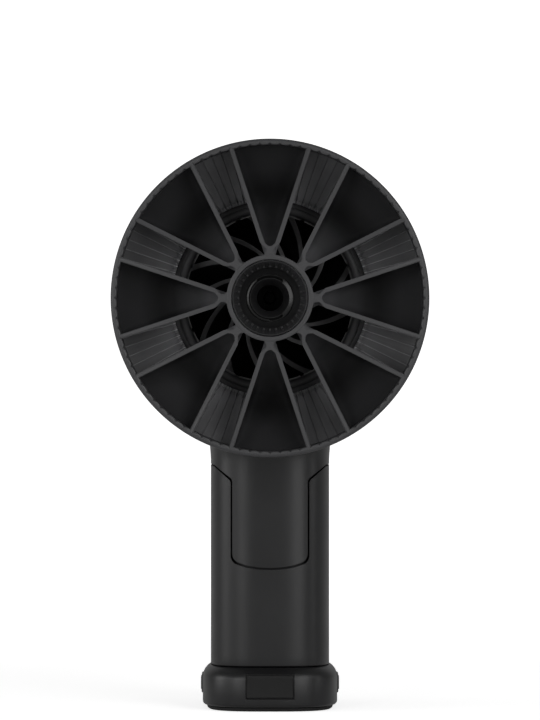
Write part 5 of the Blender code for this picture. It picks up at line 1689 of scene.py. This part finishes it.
@dataclass
class InnerWorks:
    """The nodes whose frame shape is kept: they only get their finish."""

    finishes: dict[str, Finish] = field(default_factory=lambda: {
        "front_mount_ring": RUBBER, "rear_mount_ring": RUBBER, "front_bearing": STEEL, "rear_bearing": STEEL,
        "stator_core": IRON, "stator_windings": COPPER, "motor_end_cap": NYLON, "trigger_switch": NYLON,
        "control_board": BOARD, "board_capacitor": TRIM, "terminal_block": NYLON,
        # The impeller nut and the motor shaft take the near-black painted shade steel.
        "impeller_nut": HOLE_SHADE_STEEL, "motor_shaft": HOLE_SHADE_STEEL, "rotor_magnet": IRON, "trigger_plunger": STEEL,
        "pack_board": BOARD, "charge_port": STEEL, **{f"battery_cell_{k}": WRAP for k in range(1, 5)}})

    def build(self, nodes: dict[str, bpy.types.Object]) -> None:
        """Assign the materials."""
        for name, finish in self.finishes.items():
            node = nodes[name]
            node.data.materials.clear()
            node.data.materials.append(finish.build())
            log.info("%s: frame shape, %s", name, finish.name)


@dataclass(frozen=True)
class CompressionSpring:
    """A wound spring, a steel copy of its node in the frame.

    away points from its fixed end to the end that moves; travel and slack are in millimetres.
    """

    node: str
    body: str
    joint: str
    away: tuple[int, int, int]
    travel: float
    slack: float = 0.1

    def build(self, nodes: dict[str, bpy.types.Object]) -> None:
        """Make the spring as a steel copy of its node in the frame."""
        piece = bpy.data.objects.new(f"{self.node}_coil", nodes[self.node].data.copy())
        bpy.context.scene.collection.objects.link(piece)
        dress(piece, STEEL, self.body, self.node)
        low, high = (Vector(corner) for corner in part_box(self.node))
        anchor = low if sum(self.away) > 0 else high
        length = abs((high - low).dot(Vector(self.away)))
        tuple(self.away)
        1 - (self.travel + self.slack) * MM / length
        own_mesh(piece)


# --- the studio ------------------------------------------------------------------------
@dataclass(frozen=True)
class Lamp:
    """A soft rectangular lamp that points at the fan's centre, in metres and watts."""

    name: str
    place: Point
    width: float
    height: float
    power: float

    def build(self, target: Vector) -> None:
        """Make the lamp."""
        light = bpy.data.lights.new(self.name, "AREA")
        light.shape = "RECTANGLE"
        light.size = self.width
        light.size_y = self.height
        light.energy = self.power
        made = bpy.data.objects.new(self.name, light)
        made.location = target + Vector(self.place)
        made.rotation_euler = (-Vector(self.place)).to_track_quat("-Z", "Y").to_euler()
        bpy.context.collection.objects.link(made)


@dataclass
class Studio:
    """A pale floor and wall, soft lamps, and a long lens on the fan axis.

    The floor glows by near_glow within near metres of the object, and in full beyond far.
    """

    distance: float = 2.0
    view_height: float = 0.2594
    shift: float = -0.0861
    room: float = 4.0
    floor_grey: float = 0.80
    floor_gap: float = 0.0001
    near: float = 0.15
    far: float = 0.80
    near_glow: float = 0.72
    fill: float = 0.20
    sheen: float = 0.12
    lamps: tuple[Lamp, ...] = (
        Lamp("front_left_softbox", (-0.95, -1.8, 0.25), 0.6, 1.2, 8.0),
        Lamp("front_right_softbox", (0.95, -1.75, 0.1), 0.9, 1.2, 11.0),
        Lamp("left_softbox", (-1.35, -0.75, 0.0), 1.0, 1.4, 5.0),
        Lamp("left_strip", (-1.5, -0.1, 0.0), 0.8, 1.4, 7.0),
        Lamp("right_strip", (1.5, -0.35, 0.2), 0.3, 1.2, 2.2),
        Lamp("key_lamp", (0.95, -1.25, 1.0), 0.7, 0.7, 4.5),
        Lamp("high_front", (0.0, -2.0, 1.0), 0.9, 0.6, 1.5),
    )

    @staticmethod
    def plane(name: str, corners: Sequence[Point], material: bpy.types.Material) -> None:
        """Make one stage surface."""
        mesh = bpy.data.meshes.new(name)
        mesh.from_pydata(corners, [], [tuple(range(len(corners)))])
        mesh.materials.append(material)
        made = bpy.data.objects.new(name, mesh)
        bpy.context.collection.objects.link(made)

    def pale(self, name: str, near_lift: float, far_lift: float) -> bpy.types.Material:
        """Return a pale surface that the camera sees lifted towards white.

        Args:
            name: the material's name.
            near_lift: the glow beside the object, which camera and transmission rays see in
                full and glossy rays in part.
            far_lift: the glow away from it.

        Returns:
            The material.
        """
        made = bpy.data.materials.new(name)
        made.use_nodes = True
        made.node_tree.nodes.clear()
        web = Web(made.node_tree)
        grey = self.floor_grey
        path = web.node("ShaderNodeLightPath")
        mirrored = path.other("Is Glossy Ray") * self.sheen
        seen = path.either(path.other("Is Transmission Ray")).either(mirrored)
        place = web.node("ShaderNodeTexCoord").other("Object")
        distance = web.node("ShaderNodeVectorMath", {"operation": "LENGTH"}, {0: place}).other("Value")
        lift = web.node("ShaderNodeMapRange", {"interpolation_type": "SMOOTHSTEP"},
                        {"Value": distance, "From Min": self.near, "From Max": self.far,
                         "To Min": near_lift, "To Max": far_lift})
        matt = web.node("ShaderNodeBsdfDiffuse", None, {"Color": (grey, grey, grey, 1.0)})
        glow = web.node("ShaderNodeEmission", None, {"Color": (1.0, 1.0, 1.0, 1.0), "Strength": seen * lift})
        both = web.node("ShaderNodeAddShader", None, {0: matt, 1: glow})
        web.node("ShaderNodeOutputMaterial", None, {"Surface": both})
        return made

    def surroundings(self) -> None:
        """Make the floor, the wall and the air round them."""
        room = self.room
        low = -self.floor_gap
        back = [(-room, room, low), (room, room, low)]
        self.plane("floor", [(-room, -room, low), (room, -room, low), *back[::-1]],
                   self.pale("pale_floor", self.near_glow, 1.0))
        self.plane("wall", [*back, (room, room, room), (-room, room, room)], self.pale("pale_wall", 1.0, 1.0))
        world = bpy.data.worlds.new("studio_air")
        bpy.context.scene.world = world
        world.use_nodes = True
        world.node_tree.nodes.clear()
        web = Web(world.node_tree)
        path = web.node("ShaderNodeLightPath")
        seen = path.either(path.other("Is Transmission Ray"))
        strength = seen * (1.0 - self.fill) + self.fill
        air = web.node("ShaderNodeBackground", None, {"Color": (1.0, 1.0, 1.0, 1.0), "Strength": strength})
        web.node("ShaderNodeOutputWorld", None, {"Surface": air})

    def camera(self, target: Vector) -> None:
        """Put the camera on the fan axis, in front of the intake."""
        lens = bpy.data.cameras.new("long_lens")
        lens.lens = lens.sensor_width * self.distance / self.view_height
        lens.shift_y = self.shift
        lens.clip_start = 0.05
        lens.clip_end = 50.0
        made = bpy.data.objects.new("camera", lens)
        made.location = target + Vector((0.0, -self.distance, 0.0))
        made.rotation_euler = (math.pi / 2, 0.0, 0.0)
        bpy.context.collection.objects.link(made)
        bpy.context.scene.camera = made

    def build(self, target: Vector) -> None:
        """Set up the studio round a target point."""
        bpy.context.scene.view_settings.view_transform = "Standard"
        self.camera(target)
        self.surroundings()
        for lamp in self.lamps:
            lamp.build(target)


def main() -> None:
    """Build every sub-assembly round the frame."""
    logging.basicConfig(level=logging.INFO, format="%(name)s: %(message)s")
    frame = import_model()
    spin = next(joint for joint in frame["joints"] if joint["name"] == "rotor_spin")
    guard_low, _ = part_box("intake_guard")
    grip_low, grip_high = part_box("grip_shell")
    Form.origins[Where.HEAD] = Vector((0.0, guard_low.y, spin["pos_m"][2]))
    Form.origins[Where.GRIP] = Vector((0.0, (grip_low.y + grip_high.y) / 2, 0.0))

    Studio().build(Form.origins[Where.HEAD])
    guard = IntakeGuard()
    bell = IntakeBell()
    handle = Handle(axis=spin["pos_m"][2] / MM)
    screws = CollarScrews()
    for part in (guard, IntakeScoops(guard), bell, HubCup(), FanDuct(), Impeller(), Outlet(),
                 BarrelHousing(handle, bell, screws), screws, GripShell(handle), Trigger(handle),
                 Battery(handle)):
        log.info("building %s", type(part).__name__)
        part.build()
    InnerWorks().build(frame["nodes"])
    for spring in (CompressionSpring("trigger_spring", "body", "trigger_pull", (0, 1, 0), 6.0),
                   CompressionSpring("left_latch_spring", "battery", "left_latch_press", (-1, 0, 0), 1.5),
                   CompressionSpring("right_latch_spring", "battery", "right_latch_press", (1, 0, 0), 1.5)):
        spring.build(frame["nodes"])


if __name__ == "__main__":
    main()
